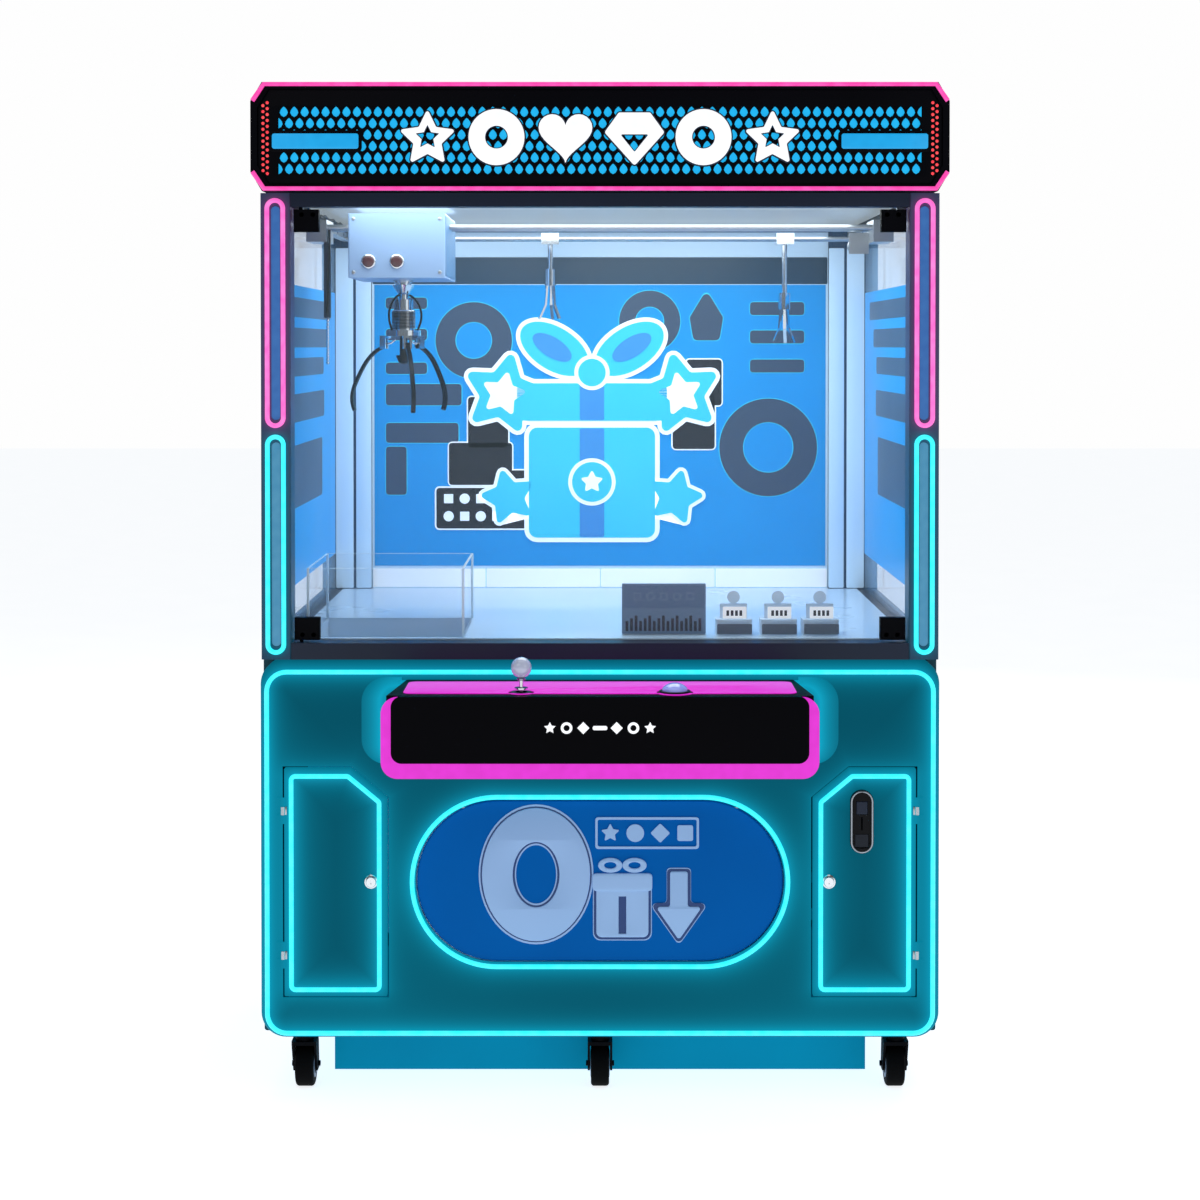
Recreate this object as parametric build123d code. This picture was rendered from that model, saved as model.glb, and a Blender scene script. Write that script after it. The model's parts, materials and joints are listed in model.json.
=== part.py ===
"""Wide prize crane cabinet: a lit cabinet with a gantry claw, a control console and a prize flap.

Frame: +X to the player's right, +Y to the back, +Z up. The origin is on the floor, at the centre of
the overall footprint, which runs from the console's face to the back panel.
Every piece is written to parts/NODE.step in millimetres.
"""
from math import cos, radians, sin

from build123d import *
import os

# ---- driving dimensions (mm) -------------------------------------------------------------------
CABINET_W = 1456.0          # lower body, side to side
CABINET_D = 1100.0          # front shell to back panel
CANOPY_W = CABINET_W + 14.0  # sign box, the widest piece
CANOPY_REACH = 60.0         # sign box in front of the lower body
CONSOLE_REACH = 230.0       # console in front of the lower body
HEIGHT = 2180.0             # floor to the top of the sign box

BODY_BOTTOM = 140.0         # underside of the lower body
BODY_TOP = 955.0            # top of the front shell
SILL_TOP = 990.0            # top of the rail under the glass
GLASS_TOP = HEIGHT - 258.0  # underside of the header frame
CANOPY_BOTTOM = HEIGHT - 229.0  # underside of the sign box

FRONT_Y = -(CABINET_D - CONSOLE_REACH) / 2
BACK_Y = FRONT_Y + CABINET_D
HALF_W = CABINET_W / 2

PANEL_T = 20.0              # side and back boards
PAN_T = 6.0                 # floor pan
SHEET_T = 4.0               # folded sheet metal
GAP = 4.0                   # round a door or flap
RUN_CLEARANCE = 0.3         # between pieces that slide or turn
HINGE_PLAY = 0.4            # between hinge knuckles
BORE_PLAY = 0.08            # radial, between a pin and its bore

VENT_W = 160.0              # vent slots in the back board
VENT_H = 7.0
VENT_PITCH = 18.0
VENT_ROWS = 9
VENT_X = 330.0
VENT_DROP = 160.0           # top slot under the board's top edge
INLET_W = 48.0              # mains inlet
INLET_H = 28.0
INLET_X = HALF_W - 168.0
INLET_Z = 230.0

# ---- front shell and its openings ---------------------------------------------------------------
SHELL_D = 60.0
SHELL_WALL = 8.0
SHELL_CORNER_R = 54.0
SHELL_EDGE_R = 18.0
DOOR_OUTER_X = HALF_W - 52.0  # door edge on the hinge side
DOOR_INNER_X = DOOR_OUTER_X - 220.0  # door edge on the lock side
DOOR_BOTTOM = 232.0
DOOR_TOP = 722.0
DOOR_CHAMFER_X = DOOR_OUTER_X - 143.0  # where the slanted corner meets the top edge
DOOR_CHAMFER_Z = 658.0      # where the slanted corner meets the lock edge
DOOR_T = 16.0
DOOR_PROUD = 2.0            # door face in front of the shell
HINGE_OUT = 2.0             # hinge axis outside the door's edge
HINGE_FORWARD = 6.0         # hinge axis in front of the shell's face
KNUCKLE_R = 5.0
KNUCKLE_L = 18.0
HINGE_PIN_R = 2.5
HINGE_INSET = 90.0          # hinge centre from the door's top and bottom
LOCK_X = DOOR_INNER_X + 34.0
LOCK_Z = 478.0
LOCK_R = 10.0
CAM_REACH = 26.0            # lock cam from its plug's centre to its tip

COIN_X = DOOR_OUTER_X - 116.0  # coin entry on the right door
COIN_Z = 608.0
COIN_W = 50.0
COIN_H = 136.0
COIN_BEZEL_T = 5.0
COIN_BUTTON_W = 24.0
COIN_BUTTON_H = 28.0
COIN_BUTTON_Z = 638.0

FLAP_W = 790.0              # prize opening
FLAP_H = 350.0
FLAP_Z = 479.0
FLAP_T = 10.0
FLAP_SET_BACK = 6.0         # flap face behind the shell's face
FLAP_PIVOT_DROP = 14.0      # pivot below the flap's top edge
FLAP_ROD_R = 3.0
FLAP_BRACKET_X = 316.0      # inner face of a flap bracket
FLAP_BRACKET_W = 12.0

TUBE_R = 5.0                # flexible light tubes
OUTLINE_INSET = 12.0        # outline tube centre from the shell's edge

# ---- console -------------------------------------------------------------------------------------
CONSOLE_TOP = 912.0
CONSOLE_BOTTOM = 743.0
CONSOLE_FRONT_HALF = 447.0
CONSOLE_BACK_HALF = 424.0
CONSOLE_R = 34.0
CONSOLE_WALL = 5.0
TOP_T = 6.0                 # console top plate
FACE_T = 6.0                # console front glass
FACE_SIDE_MARGIN = 21.0
FACE_BOTTOM_MARGIN = 32.0
FACE_R = 22.0
TRIM_T = 5.0                # lit trim behind the front glass
COWL_D = 46.0               # soft moulding round the console's root
COWL_SPREAD = 86.0          # how far the moulding runs out over the shell
JOYSTICK_X = -162.0
BUTTON_X = 154.0
CONTROL_SETBACK = 52.0      # controls behind the console's face
STICK_R = 4.5
STICK_L = 52.0
BALL_R = 21.0
GIMBAL_R = 18.0
DUST_R = 22.0
BUTTON_R = 26.0
BUTTON_TRAVEL = 4.0
DOME_DROP = 22.0            # centre of the button's dome under its rim
PIVOT_DEPTH = 20.0          # stick pivot under the console's top
HOUSING_R = 32.0            # joystick housing
GIMBAL_PIN_R = 2.5
STICK_PIN_R = 2.0

# ---- upper cabinet --------------------------------------------------------------------------------
POST_W = 64.0
POST_OUTER_X = HALF_W - 4.0
LOOP_W = 34.0               # light loop on a post, between tube centres
LOOP_GAP = 24.0             # between the upper and lower loop
LOOP_SPLIT = 0.49           # height share where the lower loop ends
LOOP_END = 16.0             # from the post's end to a loop
REAR_POST_INNER_X = HALF_W - 132.0
REAR_POST_D = 50.0
GLASS_T = 8.0
WALL_T = 15.0               # back wall
WALL_INSET = 30.0           # back wall's face in front of the back
SIDE_GLASS_X = HALF_W - 38.0  # inner face of a side pane
HEADER_W = 50.0             # header frame tube width
FRAME_LAP = 20.0            # side rails inside the side panes
DECK_T = 12.0
DECK_TOP = 992.0
CEILING_Z = HEIGHT - 244.0
CEILING_T = 8.0

# ---- glass door ------------------------------------------------------------------------------------
GLASS_SETBACK = 22.0        # front pane behind the cabinet's face
FITTING_L = 54.0
FITTING_H = 48.0
FITTING_T = 20.0
FITTING_BODY = 20.0         # solid part of a fitting beyond the pane's edge notch
GLASS_EDGE_GAP = 5.0
GLASS_PIVOT_INSET = 14.0    # pivot from the pane's edge
GLASS_PIN_R = 4.0
GLASS_PIN_L = 8.0           # pin length inside the frame

# ---- canopy ----------------------------------------------------------------------------------------
CHAMFER_X = 24.0
CHAMFER_Z = 40.0
CANOPY_WALL = 5.0
SIGN_RECESS = 10.0
SIGN_T = 3.0
SIGN_MARGIN = 22.0
EMBLEM_T = 12.0
EMBLEM_R = 60.0
EMBLEM_PITCH = 145.0

# ---- prize path ------------------------------------------------------------------------------------
HOLE_LEFT = -(HALF_W - 96.0)
HOLE_RIGHT = HOLE_LEFT + 332.0
HOLE_FRONT = FRONT_Y + 84.0
HOLE_DEPTH = 340.0
BIN_HALF = FLAP_W / 2 + 9.0
BIN_FLOOR = 292.0
BIN_TOP = 690.0
CHUTE_SLOPE_H = 240.0       # drop of the slanted chute floor
GUARD_H = 150.0
GUARD_T = 5.0

# ---- gantry ----------------------------------------------------------------------------------------
RAIL_X = HALF_W - 73.0      # centre of a side rail
RAIL_W = 24.0
RAIL_H = 16.0
RAIL_TOP = GLASS_TOP - 10.0
BRIDGE_Y = -60.0
ROD_R = 6.0
ROD_SPACING = 80.0
ROD_Z = RAIL_TOP - RAIL_H
TRUCK_L = 130.0
TRUCK_W = 22.0
TRUCK_H = 34.0              # truck under the rail
TROLLEY_X = HOLE_LEFT + 180.0
COVER_W = 216.0
COVER_D = 340.0
COVER_TOP = GLASS_TOP - 2.0
COVER_BOTTOM = COVER_TOP - 143.0
COVER_T = 2.5
CARRIAGE_T = 10.0
LAMP_SPREAD = 63.0          # between the two lamps on the cover's front
HOIST_L = 134.0             # length of each telescoping tube
HOIST_R = 27.0              # outer radius of the fixed tube
HOIST_WALL = 2.0
HOIST_STAGES = 3            # moving tubes between the fixed tube and the claw's stem
HOIST_STAGGER = 3.0         # each stage's lower end under the one before

SOLENOID_R = 26.0
SOLENOID_H = 72.0
SOLENOID_TOP = COVER_BOTTOM - 45.0
COLLAR_R = 40.0
COLLAR_H = 12.0
FINGER_COUNT = 3
FINGER_FIRST_AZIMUTH = 165.0
FINGER_PIVOT_R = 48.0
FINGER_PIVOT_DROP = 22.0    # finger pivots below the collar's underside
FINGER_W = 10.0
FINGER_T = 7.0
FINGER_PIN_R = 3.0
LUG_GAP = 0.6
PLUNGER_R = 9.0
PLUNGER_L = 72.0
PLUNGER_DROP = 50.0         # foot of the plunger under the collar
BOWL_R = 15.0

HANGER_Y = 470.0
HANGER_ROD_R = 5.0
HANGER_ROD_SPACING = 44.0
HANGER_XS = (-126.0, 468.0)
HANGER_STEMS = (64.0, 124.0)

# ---- running gear ----------------------------------------------------------------------------------
CASTER_X = HALF_W - 82.0
CASTER_FRONT_Y = FRONT_Y + 100.0
CASTER_BACK_Y = BACK_Y - 110.0
WHEEL_R = 48.0
WHEEL_W = 40.0
WHEEL_TRAIL = 24.0
AXLE_R = 6.0
FORK_T = 5.0
CASTER_PLATE_T = 6.0
KING_PIN_R = 11.0
PLINTH_HALF = HALF_W - 138.0
PLINTH_FRONT = FRONT_Y + 180.0
PLINTH_BACK = BACK_Y - 190.0
PLINTH_BOTTOM = 16.0

PARTS = {}


def keep(name, *solids):
    """Stores a node: one solid, or a group of separate ones."""
    PARTS[name] = solids[0] if len(solids) == 1 else Compound(children=list(solids))


def block(x0, x1, y0, y1, z0, z1):
    """A box between two corners."""
    size = Box(x1 - x0, y1 - y0, z1 - z0)
    return Pos((x0 + x1) / 2, (y0 + y1) / 2, (z0 + z1) / 2) * size


def rod(x, y, z, radius, length, direction=(0, 0, 1)):
    """A cylinder that starts at a point and runs along a direction."""
    return extrude(Plane((x, y, z), z_dir=direction) * Circle(radius), length)


def front_plate(sketch, y, depth):
    """A sketch drawn in X and Z, extruded from y towards the back."""
    plane = Plane((0, y, 0), x_dir=(1, 0, 0), z_dir=(0, -1, 0))
    return extrude(plane * sketch, -depth)


def mirrored(shape):
    """The same shape on the other side of the cabinet."""
    return mirror(shape, about=Plane.YZ)


def rounded(x0, x1, z0, z1, radius):
    """A rounded rectangle in X and Z, as a sketch."""
    return Pos((x0 + x1) / 2, (z0 + z1) / 2) * RectangleRounded(x1 - x0, z1 - z0, radius)


def stadium(width, height, z):
    """A slot shape in X and Z, as a sketch."""
    return Pos(0, z) * SlotOverall(width, height)


def tube_along(wire, y):
    """A light tube that follows a closed wire drawn in X and Z."""
    plane = Plane((0, y, 0), x_dir=(1, 0, 0), z_dir=(0, -1, 0))
    path = plane * wire
    start = path @ 0
    along = path % 0
    return sweep(Plane(start, z_dir=along) * Circle(TUBE_R), path=path)


def door_outline(inset):
    """The left door's outline in X and Z, moved inwards by an inset."""
    face = make_face(Polyline(
        (-DOOR_OUTER_X, DOOR_BOTTOM),
        (-DOOR_INNER_X, DOOR_BOTTOM),
        (-DOOR_INNER_X, DOOR_CHAMFER_Z),
        (-DOOR_CHAMFER_X, DOOR_TOP),
        (-DOOR_OUTER_X, DOOR_TOP),
        close=True,
    ))
    return offset(face, amount=-inset, kind=Kind.INTERSECTION) if inset else face


# ---- base, body panels and front shell ----------------------------------------------------------------
def base_pan():
    """Floor pan, the recessed skirt under it and the casters' mounting plates."""
    plate = block(-HALF_W + PANEL_T, HALF_W - PANEL_T, FRONT_Y + SHELL_D, BACK_Y - PANEL_T,
                  BODY_BOTTOM, BODY_BOTTOM + PAN_T)
    skirt = block(-PLINTH_HALF, PLINTH_HALF, PLINTH_FRONT, PLINTH_BACK, PLINTH_BOTTOM, BODY_BOTTOM)
    inner = block(-PLINTH_HALF + SHEET_T, PLINTH_HALF - SHEET_T, PLINTH_FRONT + SHEET_T,
                  PLINTH_BACK - SHEET_T, PLINTH_BOTTOM - 1, BODY_BOTTOM)
    keep("base_pan", plate + (skirt - inner), *[caster_plate(x, y) for x, y in CASTERS.values()])


def body_panels():
    """Side boards, and the back board with its vents and the mains inlet's hole."""
    left = block(-HALF_W, -HALF_W + PANEL_T, FRONT_Y + SHELL_D, BACK_Y, BODY_BOTTOM, BODY_TOP)
    left = fillet(left.edges().filter_by(Axis.Y).group_by(Axis.X)[0], 6)
    keep("side_panels", left, mirrored(left))
    back = block(-HALF_W + PANEL_T, HALF_W - PANEL_T, BACK_Y - PANEL_T, BACK_Y,
                 BODY_BOTTOM, BODY_TOP)
    for side in (-1, 1):
        for row in range(VENT_ROWS):
            slot = Pos(side * VENT_X, BODY_TOP - VENT_DROP - row * VENT_PITCH) * SlotOverall(VENT_W, VENT_H)
            back -= front_plate(slot, BACK_Y - PANEL_T - 1, PANEL_T + 2)
    half_w, half_h = INLET_W / 2, INLET_H / 2
    back -= block(INLET_X - half_w, INLET_X + half_w, BACK_Y - PANEL_T - 1, BACK_Y + 1,
                  INLET_Z - half_h, INLET_Z + half_h)
    keep("rear_panel", back)


def front_shell():
    """Moulded front of the lower body, with its door, flap and console openings."""
    outline = rounded(-HALF_W, HALF_W, BODY_BOTTOM, BODY_TOP, SHELL_CORNER_R)
    shell = front_plate(outline, FRONT_Y, SHELL_D)
    shell = fillet(shell.faces().sort_by(Axis.Y)[0].edges(), SHELL_EDGE_R)
    rim = 2 * SHELL_WALL + 6
    pocket = rounded(-HALF_W + rim, HALF_W - rim, BODY_BOTTOM + rim, BODY_TOP - rim,
                     SHELL_CORNER_R - 2 * SHELL_WALL)
    shell -= front_plate(pocket, FRONT_Y + SHELL_WALL, SHELL_D)
    opening = offset(door_outline(0), amount=GAP, kind=Kind.INTERSECTION)
    hole = front_plate(opening, FRONT_Y - 1, SHELL_D)
    shell -= hole
    shell -= mirrored(hole)
    shell -= front_plate(stadium(FLAP_W, FLAP_H, FLAP_Z), FRONT_Y - 1, SHELL_D)
    cable = rounded(-120, 120, CONSOLE_BOTTOM + 60, CONSOLE_TOP - 50, 20)
    shell -= front_plate(cable, FRONT_Y - 1, SHELL_D)
    pin_x, pin_y = -DOOR_OUTER_X - HINGE_OUT, FRONT_Y - HINGE_FORWARD
    for z in hinge_heights():
        for end in (-1, 1):
            middle = z + end * (KNUCKLE_L + HINGE_PLAY)
            leaf = block(pin_x - 14, pin_x, pin_y, FRONT_Y, middle - KNUCKLE_L / 2, middle + KNUCKLE_L / 2)
            leaf += rod(pin_x, pin_y, middle - KNUCKLE_L / 2, KNUCKLE_R, KNUCKLE_L)
            shell += leaf
            shell += mirrored(leaf)
        span = 3 * KNUCKLE_L
        pin = rod(pin_x, pin_y, z - span / 2, HINGE_PIN_R, span)
        shell += pin
        shell += mirrored(pin)
    keep("front_shell", shell)
    y0 = FRONT_Y - COWL_D
    root = rounded(-CONSOLE_BACK_HALF - COWL_SPREAD, CONSOLE_BACK_HALF + COWL_SPREAD,
                   CONSOLE_BOTTOM - 12, CONSOLE_TOP + 6, SHELL_CORNER_R)
    tip = rounded(-CONSOLE_BACK_HALF - 6, CONSOLE_BACK_HALF + 6, CONSOLE_BOTTOM - 4, CONSOLE_TOP + 2, 30)
    planes = [Plane((0, y, 0), x_dir=(1, 0, 0), z_dir=(0, -1, 0)) for y in (FRONT_Y, y0)]
    cowl = loft([planes[0] * root, planes[1] * tip])
    cowl -= extrude(Plane.XY.offset(CONSOLE_BOTTOM) * console_plan(FACE_T + TRIM_T),
                    CONSOLE_TOP - CONSOLE_BOTTOM)
    above = block(-CONSOLE_BACK_HALF, CONSOLE_BACK_HALF, y0 - 1, FRONT_Y + 1, CONSOLE_TOP - 1, BODY_TOP)
    keep("console_cowl", cowl - above)


def hinge_heights():
    """Centres of a service door's two hinges."""
    return (DOOR_BOTTOM + HINGE_INSET, DOOR_TOP - HINGE_INSET)


def light_tubes():
    """All fixed light tubes: body outline, flap ring, post loops and the sign box's edges."""
    face_y = FRONT_Y - TUBE_R - 0.2
    outline = RectangleRounded(CABINET_W - 2 * OUTLINE_INSET - 8,
                               BODY_TOP - BODY_BOTTOM - 2 * OUTLINE_INSET - 16,
                               SHELL_CORNER_R - OUTLINE_INSET)
    centre_z = (BODY_TOP + BODY_BOTTOM) / 2 - 6
    outline_tube = tube_along(Pos(0, centre_z) * outline.wire(), face_y)
    ring = SlotOverall(FLAP_W + 2 * TUBE_R + 4, FLAP_H + 2 * TUBE_R + 4).wire()
    flap_tube = tube_along(Pos(0, FLAP_Z) * ring, face_y)
    tubes = [outline_tube, flap_tube]
    loop_x = POST_OUTER_X - POST_W / 2
    for z0, z1 in loop_spans():
        loop = SlotOverall(z1 - z0 - 2 * TUBE_R, LOOP_W, rotation=90).wire()
        left = tube_along(Pos(-loop_x, (z0 + z1) / 2) * loop, face_y)
        tubes += [left, mirrored(left)]
    tubes += canopy_tubes()
    keep("light_tubes", *tubes)


def canopy_tubes():
    """Open tubes along the sign box's top and bottom edges and round its slanted corners."""
    half = CANOPY_W / 2 - TUBE_R
    y = FRONT_Y - CANOPY_REACH - TUBE_R - 0.2
    tubes = []
    for edge, inward in ((HEIGHT - TUBE_R, -1), (CANOPY_BOTTOM + TUBE_R, 1)):
        corner = edge + inward * (CHAMFER_Z - TUBE_R)
        points = [(-half, y, corner), (-half + CHAMFER_X, y, edge),
                  (half - CHAMFER_X, y, edge), (half, y, corner)]
        path = FilletPolyline(*points, radius=14)
        tubes.append(sweep(Plane(path @ 0, z_dir=path % 0) * Circle(TUBE_R), path=path))
    return tubes


# ---- upper cabinet ---------------------------------------------------------------------------------
def upper_frame():
    """Corner posts, with a recess behind each light loop, and the rails over and under the glass."""
    inner = POST_OUTER_X - POST_W
    post = block(-POST_OUTER_X, -inner, FRONT_Y, FRONT_Y + POST_W, BODY_TOP, CANOPY_BOTTOM)
    post = fillet(post.edges().filter_by(Axis.Z).group_by(Axis.Y)[0], 5)
    post -= block(-POST_OUTER_X + SHEET_T, -inner - SHEET_T, FRONT_Y + 14, FRONT_Y + POST_W - SHEET_T,
                  BODY_TOP - 1, CANOPY_BOTTOM + 1)
    for z0, z1 in loop_spans():
        slot = SlotOverall(z1 - z0 - 22, LOOP_W - 14, rotation=90)
        slot = Pos(-(POST_OUTER_X + inner) / 2, (z0 + z1) / 2) * slot
        post -= front_plate(slot, FRONT_Y - 1, 9)
    rear_y = BACK_Y - REAR_POST_D
    rear = block(-POST_OUTER_X, -REAR_POST_INNER_X, rear_y, BACK_Y, BODY_TOP, CANOPY_BOTTOM)
    rear = chamfer(rear.edges().filter_by(Axis.Z).group_by(Axis.X)[-1].group_by(Axis.Y)[0], 10)
    keep("corner_posts", post, mirrored(post), rear, mirrored(rear))
    side_x = SIDE_GLASS_X - FRAME_LAP
    header = [
        block(-inner, inner, FRONT_Y, FRONT_Y + HEADER_W, GLASS_TOP, CANOPY_BOTTOM),
        block(-REAR_POST_INNER_X, REAR_POST_INNER_X, rear_y, BACK_Y, GLASS_TOP, CANOPY_BOTTOM),
        block(-POST_OUTER_X, -side_x, FRONT_Y + POST_W, rear_y, GLASS_TOP, CANOPY_BOTTOM),
    ]
    sill = [
        block(-inner, inner, FRONT_Y, FRONT_Y + SHELL_D, BODY_TOP, SILL_TOP),
        block(-POST_OUTER_X, -side_x, FRONT_Y + POST_W, rear_y, BODY_TOP, SILL_TOP),
    ]
    x, y = glass_pivot()
    header[0] -= rod(x, y, GLASS_TOP - 1, GLASS_PIN_R + BORE_PLAY, GLASS_PIN_L + 2)
    sill[0] -= rod(x, y, SILL_TOP - GLASS_PIN_L - 1, GLASS_PIN_R + BORE_PLAY, GLASS_PIN_L + 2)
    rails_all = header + [mirrored(header[-1])] + sill + [mirrored(sill[-1])]
    keep("glass_frame", *rails_all)


def loop_spans():
    """Bottom and top of the lower and of the upper light loop."""
    low, high = BODY_TOP + LOOP_END, CANOPY_BOTTOM - LOOP_END
    middle = low + (high - low) * LOOP_SPLIT
    return (low, middle - LOOP_GAP / 2), (middle + LOOP_GAP / 2, high)


def panes_and_wall():
    """Side panes, back wall, lit ceiling and playfield deck with the chute's hole."""
    rear_y = BACK_Y - REAR_POST_D
    pane = block(-SIDE_GLASS_X - GLASS_T, -SIDE_GLASS_X, FRONT_Y + POST_W, rear_y, SILL_TOP, GLASS_TOP)
    keep("side_glass", pane, mirrored(pane))
    wall_y = BACK_Y - WALL_INSET
    wall = block(-REAR_POST_INNER_X, REAR_POST_INNER_X, wall_y, wall_y + WALL_T, BODY_TOP, GLASS_TOP)
    keep("back_wall", wall)
    half = POST_OUTER_X - POST_W
    ceiling = block(-half, half, FRONT_Y + HEADER_W, rear_y, CEILING_Z, CEILING_Z + CEILING_T)
    keep("ceiling_light", ceiling)
    side_x = SIDE_GLASS_X - FRAME_LAP
    low = DECK_TOP - DECK_T
    deck = block(-side_x, side_x, FRONT_Y + POST_W, rear_y, low, DECK_TOP)
    deck += block(-REAR_POST_INNER_X, REAR_POST_INNER_X, rear_y, wall_y, low, DECK_TOP)
    deck -= block(HOLE_LEFT, HOLE_RIGHT, HOLE_FRONT, HOLE_FRONT + HOLE_DEPTH, low - 1, DECK_TOP + 1)
    keep("playfield_deck", deck)


def prize_path():
    """Chute from the deck's hole to the bin behind the flap, and the clear guard round the hole."""
    y0, y1 = HOLE_FRONT, HOLE_FRONT + HOLE_DEPTH
    top = DECK_TOP - DECK_T
    knee = BIN_FLOOR + CHUTE_SLOPE_H
    face = make_face(Polyline(
        (HOLE_LEFT, top), (HOLE_LEFT, knee), (-BIN_HALF, BIN_FLOOR), (BIN_HALF, BIN_FLOOR),
        (BIN_HALF, BIN_TOP), (HOLE_RIGHT, BIN_TOP), (HOLE_RIGHT, top), close=True,
    ))
    outer = offset(face, amount=SHEET_T, kind=Kind.INTERSECTION)
    body = front_plate(outer, y0, y1 - y0 + SHEET_T)
    hollow = front_plate(face, y0, y1 - y0)
    lid_cut = block(HOLE_LEFT - 9, HOLE_RIGHT + 9, y0 - 1, y1 + 9, top, top + 20)
    body = body - hollow - lid_cut
    edge = -BIN_HALF
    front_wall = make_face(Polyline(
        (HOLE_LEFT, top), (HOLE_LEFT, knee), (edge, BIN_FLOOR), (edge, BIN_TOP),
        (HOLE_RIGHT, BIN_TOP), (HOLE_RIGHT, top), close=True,
    ))
    body += front_plate(front_wall, y0 - SHEET_T, SHEET_T)
    body += block(-BIN_HALF, BIN_HALF, FRONT_Y + SHELL_WALL, y0, BIN_FLOOR - SHEET_T, BIN_FLOOR)
    keep("prize_chute", body)
    guard = block(HOLE_LEFT - GUARD_T, HOLE_RIGHT + GUARD_T, y0 - GUARD_T, y1 + GUARD_T,
                  DECK_TOP, DECK_TOP + GUARD_H)
    guard -= block(HOLE_LEFT, HOLE_RIGHT, y0, y1, DECK_TOP - 1, DECK_TOP + GUARD_H + 1)
    keep("chute_guard", guard)


def deck_fittings():
    """Information board and three prize stands along the front of the deck."""
    board_x, board_w, board_h, board_y = 140.0, 184.0, 112.0, FRONT_Y + SHELL_D + 70
    board = block(board_x - board_w / 2, board_x + board_w / 2, board_y, board_y + 10,
                  DECK_TOP, DECK_TOP + board_h)
    board += block(board_x - board_w / 2, board_x + board_w / 2, board_y, board_y + 60,
                   DECK_TOP, DECK_TOP + 4)
    solids = [board]
    for x in (294.0, 392.0, 484.0):
        base = block(x - 40, x + 40, board_y - 10, board_y + 50, DECK_TOP, DECK_TOP + 34)
        base = fillet(base.edges().filter_by(Axis.Z), 5)
        card = block(x - 30, x + 30, board_y + 18, board_y + 22, DECK_TOP + 34, DECK_TOP + 66)
        medal = front_plate(Pos(x, DECK_TOP + 80) * Circle(14), board_y + 16, 8)
        solids.append(base + card + medal)
    keep("deck_fittings", *solids)


# ---- sign box -----------------------------------------------------------------------------------------
def canopy_outline(inset):
    """Sign box outline in X and Z: a rectangle with slanted corners."""
    half, low, high = CANOPY_W / 2 - inset, CANOPY_BOTTOM + inset, HEIGHT - inset
    cx, cz = CHAMFER_X, CHAMFER_Z
    return make_face(Polyline(
        (-half + cx, low), (half - cx, low), (half, low + cz), (half, high - cz),
        (half - cx, high), (-half + cx, high), (-half, high - cz), (-half, low + cz), close=True,
    ))


def canopy():
    """Sign box shell, its front panel and the raised emblems."""
    y0 = FRONT_Y - CANOPY_REACH
    shell = front_plate(canopy_outline(0), y0, BACK_Y - y0)
    shell -= front_plate(canopy_outline(CANOPY_WALL), y0 + 40, BACK_Y - y0 - 40 - CANOPY_WALL)
    shell -= front_plate(canopy_outline(SIGN_MARGIN - 8), y0 - 1, SIGN_RECESS + 1)
    shell -= front_plate(canopy_outline(SIGN_MARGIN + 14), y0 + SIGN_RECESS - 1, 60)
    side_x = SIDE_GLASS_X - FRAME_LAP
    shell -= block(-side_x + 10, side_x - 10, FRONT_Y + HEADER_W + 10, BACK_Y - REAR_POST_D - 10,
                   CANOPY_BOTTOM - 1, CANOPY_BOTTOM + CANOPY_WALL + 1)
    keep("canopy_shell", shell)
    face_y = y0 + SIGN_RECESS - SIGN_T
    panel = front_plate(canopy_outline(SIGN_MARGIN - 7.5), face_y, SIGN_T)
    middle = (CANOPY_BOTTOM + HEIGHT) / 2
    shapes = (star(), ring(), heart(), diamond(), ring(), star())
    emblems = []
    for i, shape in enumerate(shapes):
        x = (i - (len(shapes) - 1) / 2) * EMBLEM_PITCH
        emblems.append(front_plate(Pos(x, middle) * shape, face_y - EMBLEM_T, EMBLEM_T))
    keep("sign_panel", panel, *emblems)


def star():
    """Rounded five-pointed star."""
    inner = EMBLEM_R * 0.5
    points = []
    for i in range(10):
        radius = EMBLEM_R if i % 2 == 0 else inner
        turn = radians(90 + 36 * i)
        points.append((radius * cos(turn), radius * sin(turn)))
    face = make_face(Polyline(*points, close=True))
    return fillet(face.vertices(), 5)


def ring():
    """Open ring."""
    return Circle(EMBLEM_R) - Circle(EMBLEM_R * 0.5)


def heart():
    """Heart made of two discs and a rounded square on its corner."""
    lobe = EMBLEM_R * 0.56
    square = Rot(0, 0, 45) * Rectangle(2 * lobe, 2 * lobe)
    shift = lobe * sin(radians(45))
    shape = square + Pos(-shift, shift) * Circle(lobe) + Pos(shift, shift) * Circle(lobe)
    return Pos(0, -EMBLEM_R * 0.16) * shape


def diamond():
    """Rounded diamond."""
    face = make_face(Polyline((0, EMBLEM_R), (EMBLEM_R * 0.86, 0), (0, -EMBLEM_R),
                              (-EMBLEM_R * 0.86, 0), close=True))
    return fillet(face.vertices(), 9)


# ---- console ------------------------------------------------------------------------------------------
def console_plan(inset):
    """Plan of the console, wider at the front than at the body."""
    y0, y1 = FRONT_Y - CONSOLE_REACH + inset, FRONT_Y
    return make_face(Polyline(
        (-CONSOLE_FRONT_HALF + inset, y0), (CONSOLE_FRONT_HALF - inset, y0),
        (CONSOLE_BACK_HALF - inset, y1), (-CONSOLE_BACK_HALF + inset, y1), close=True,
    ))


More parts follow.
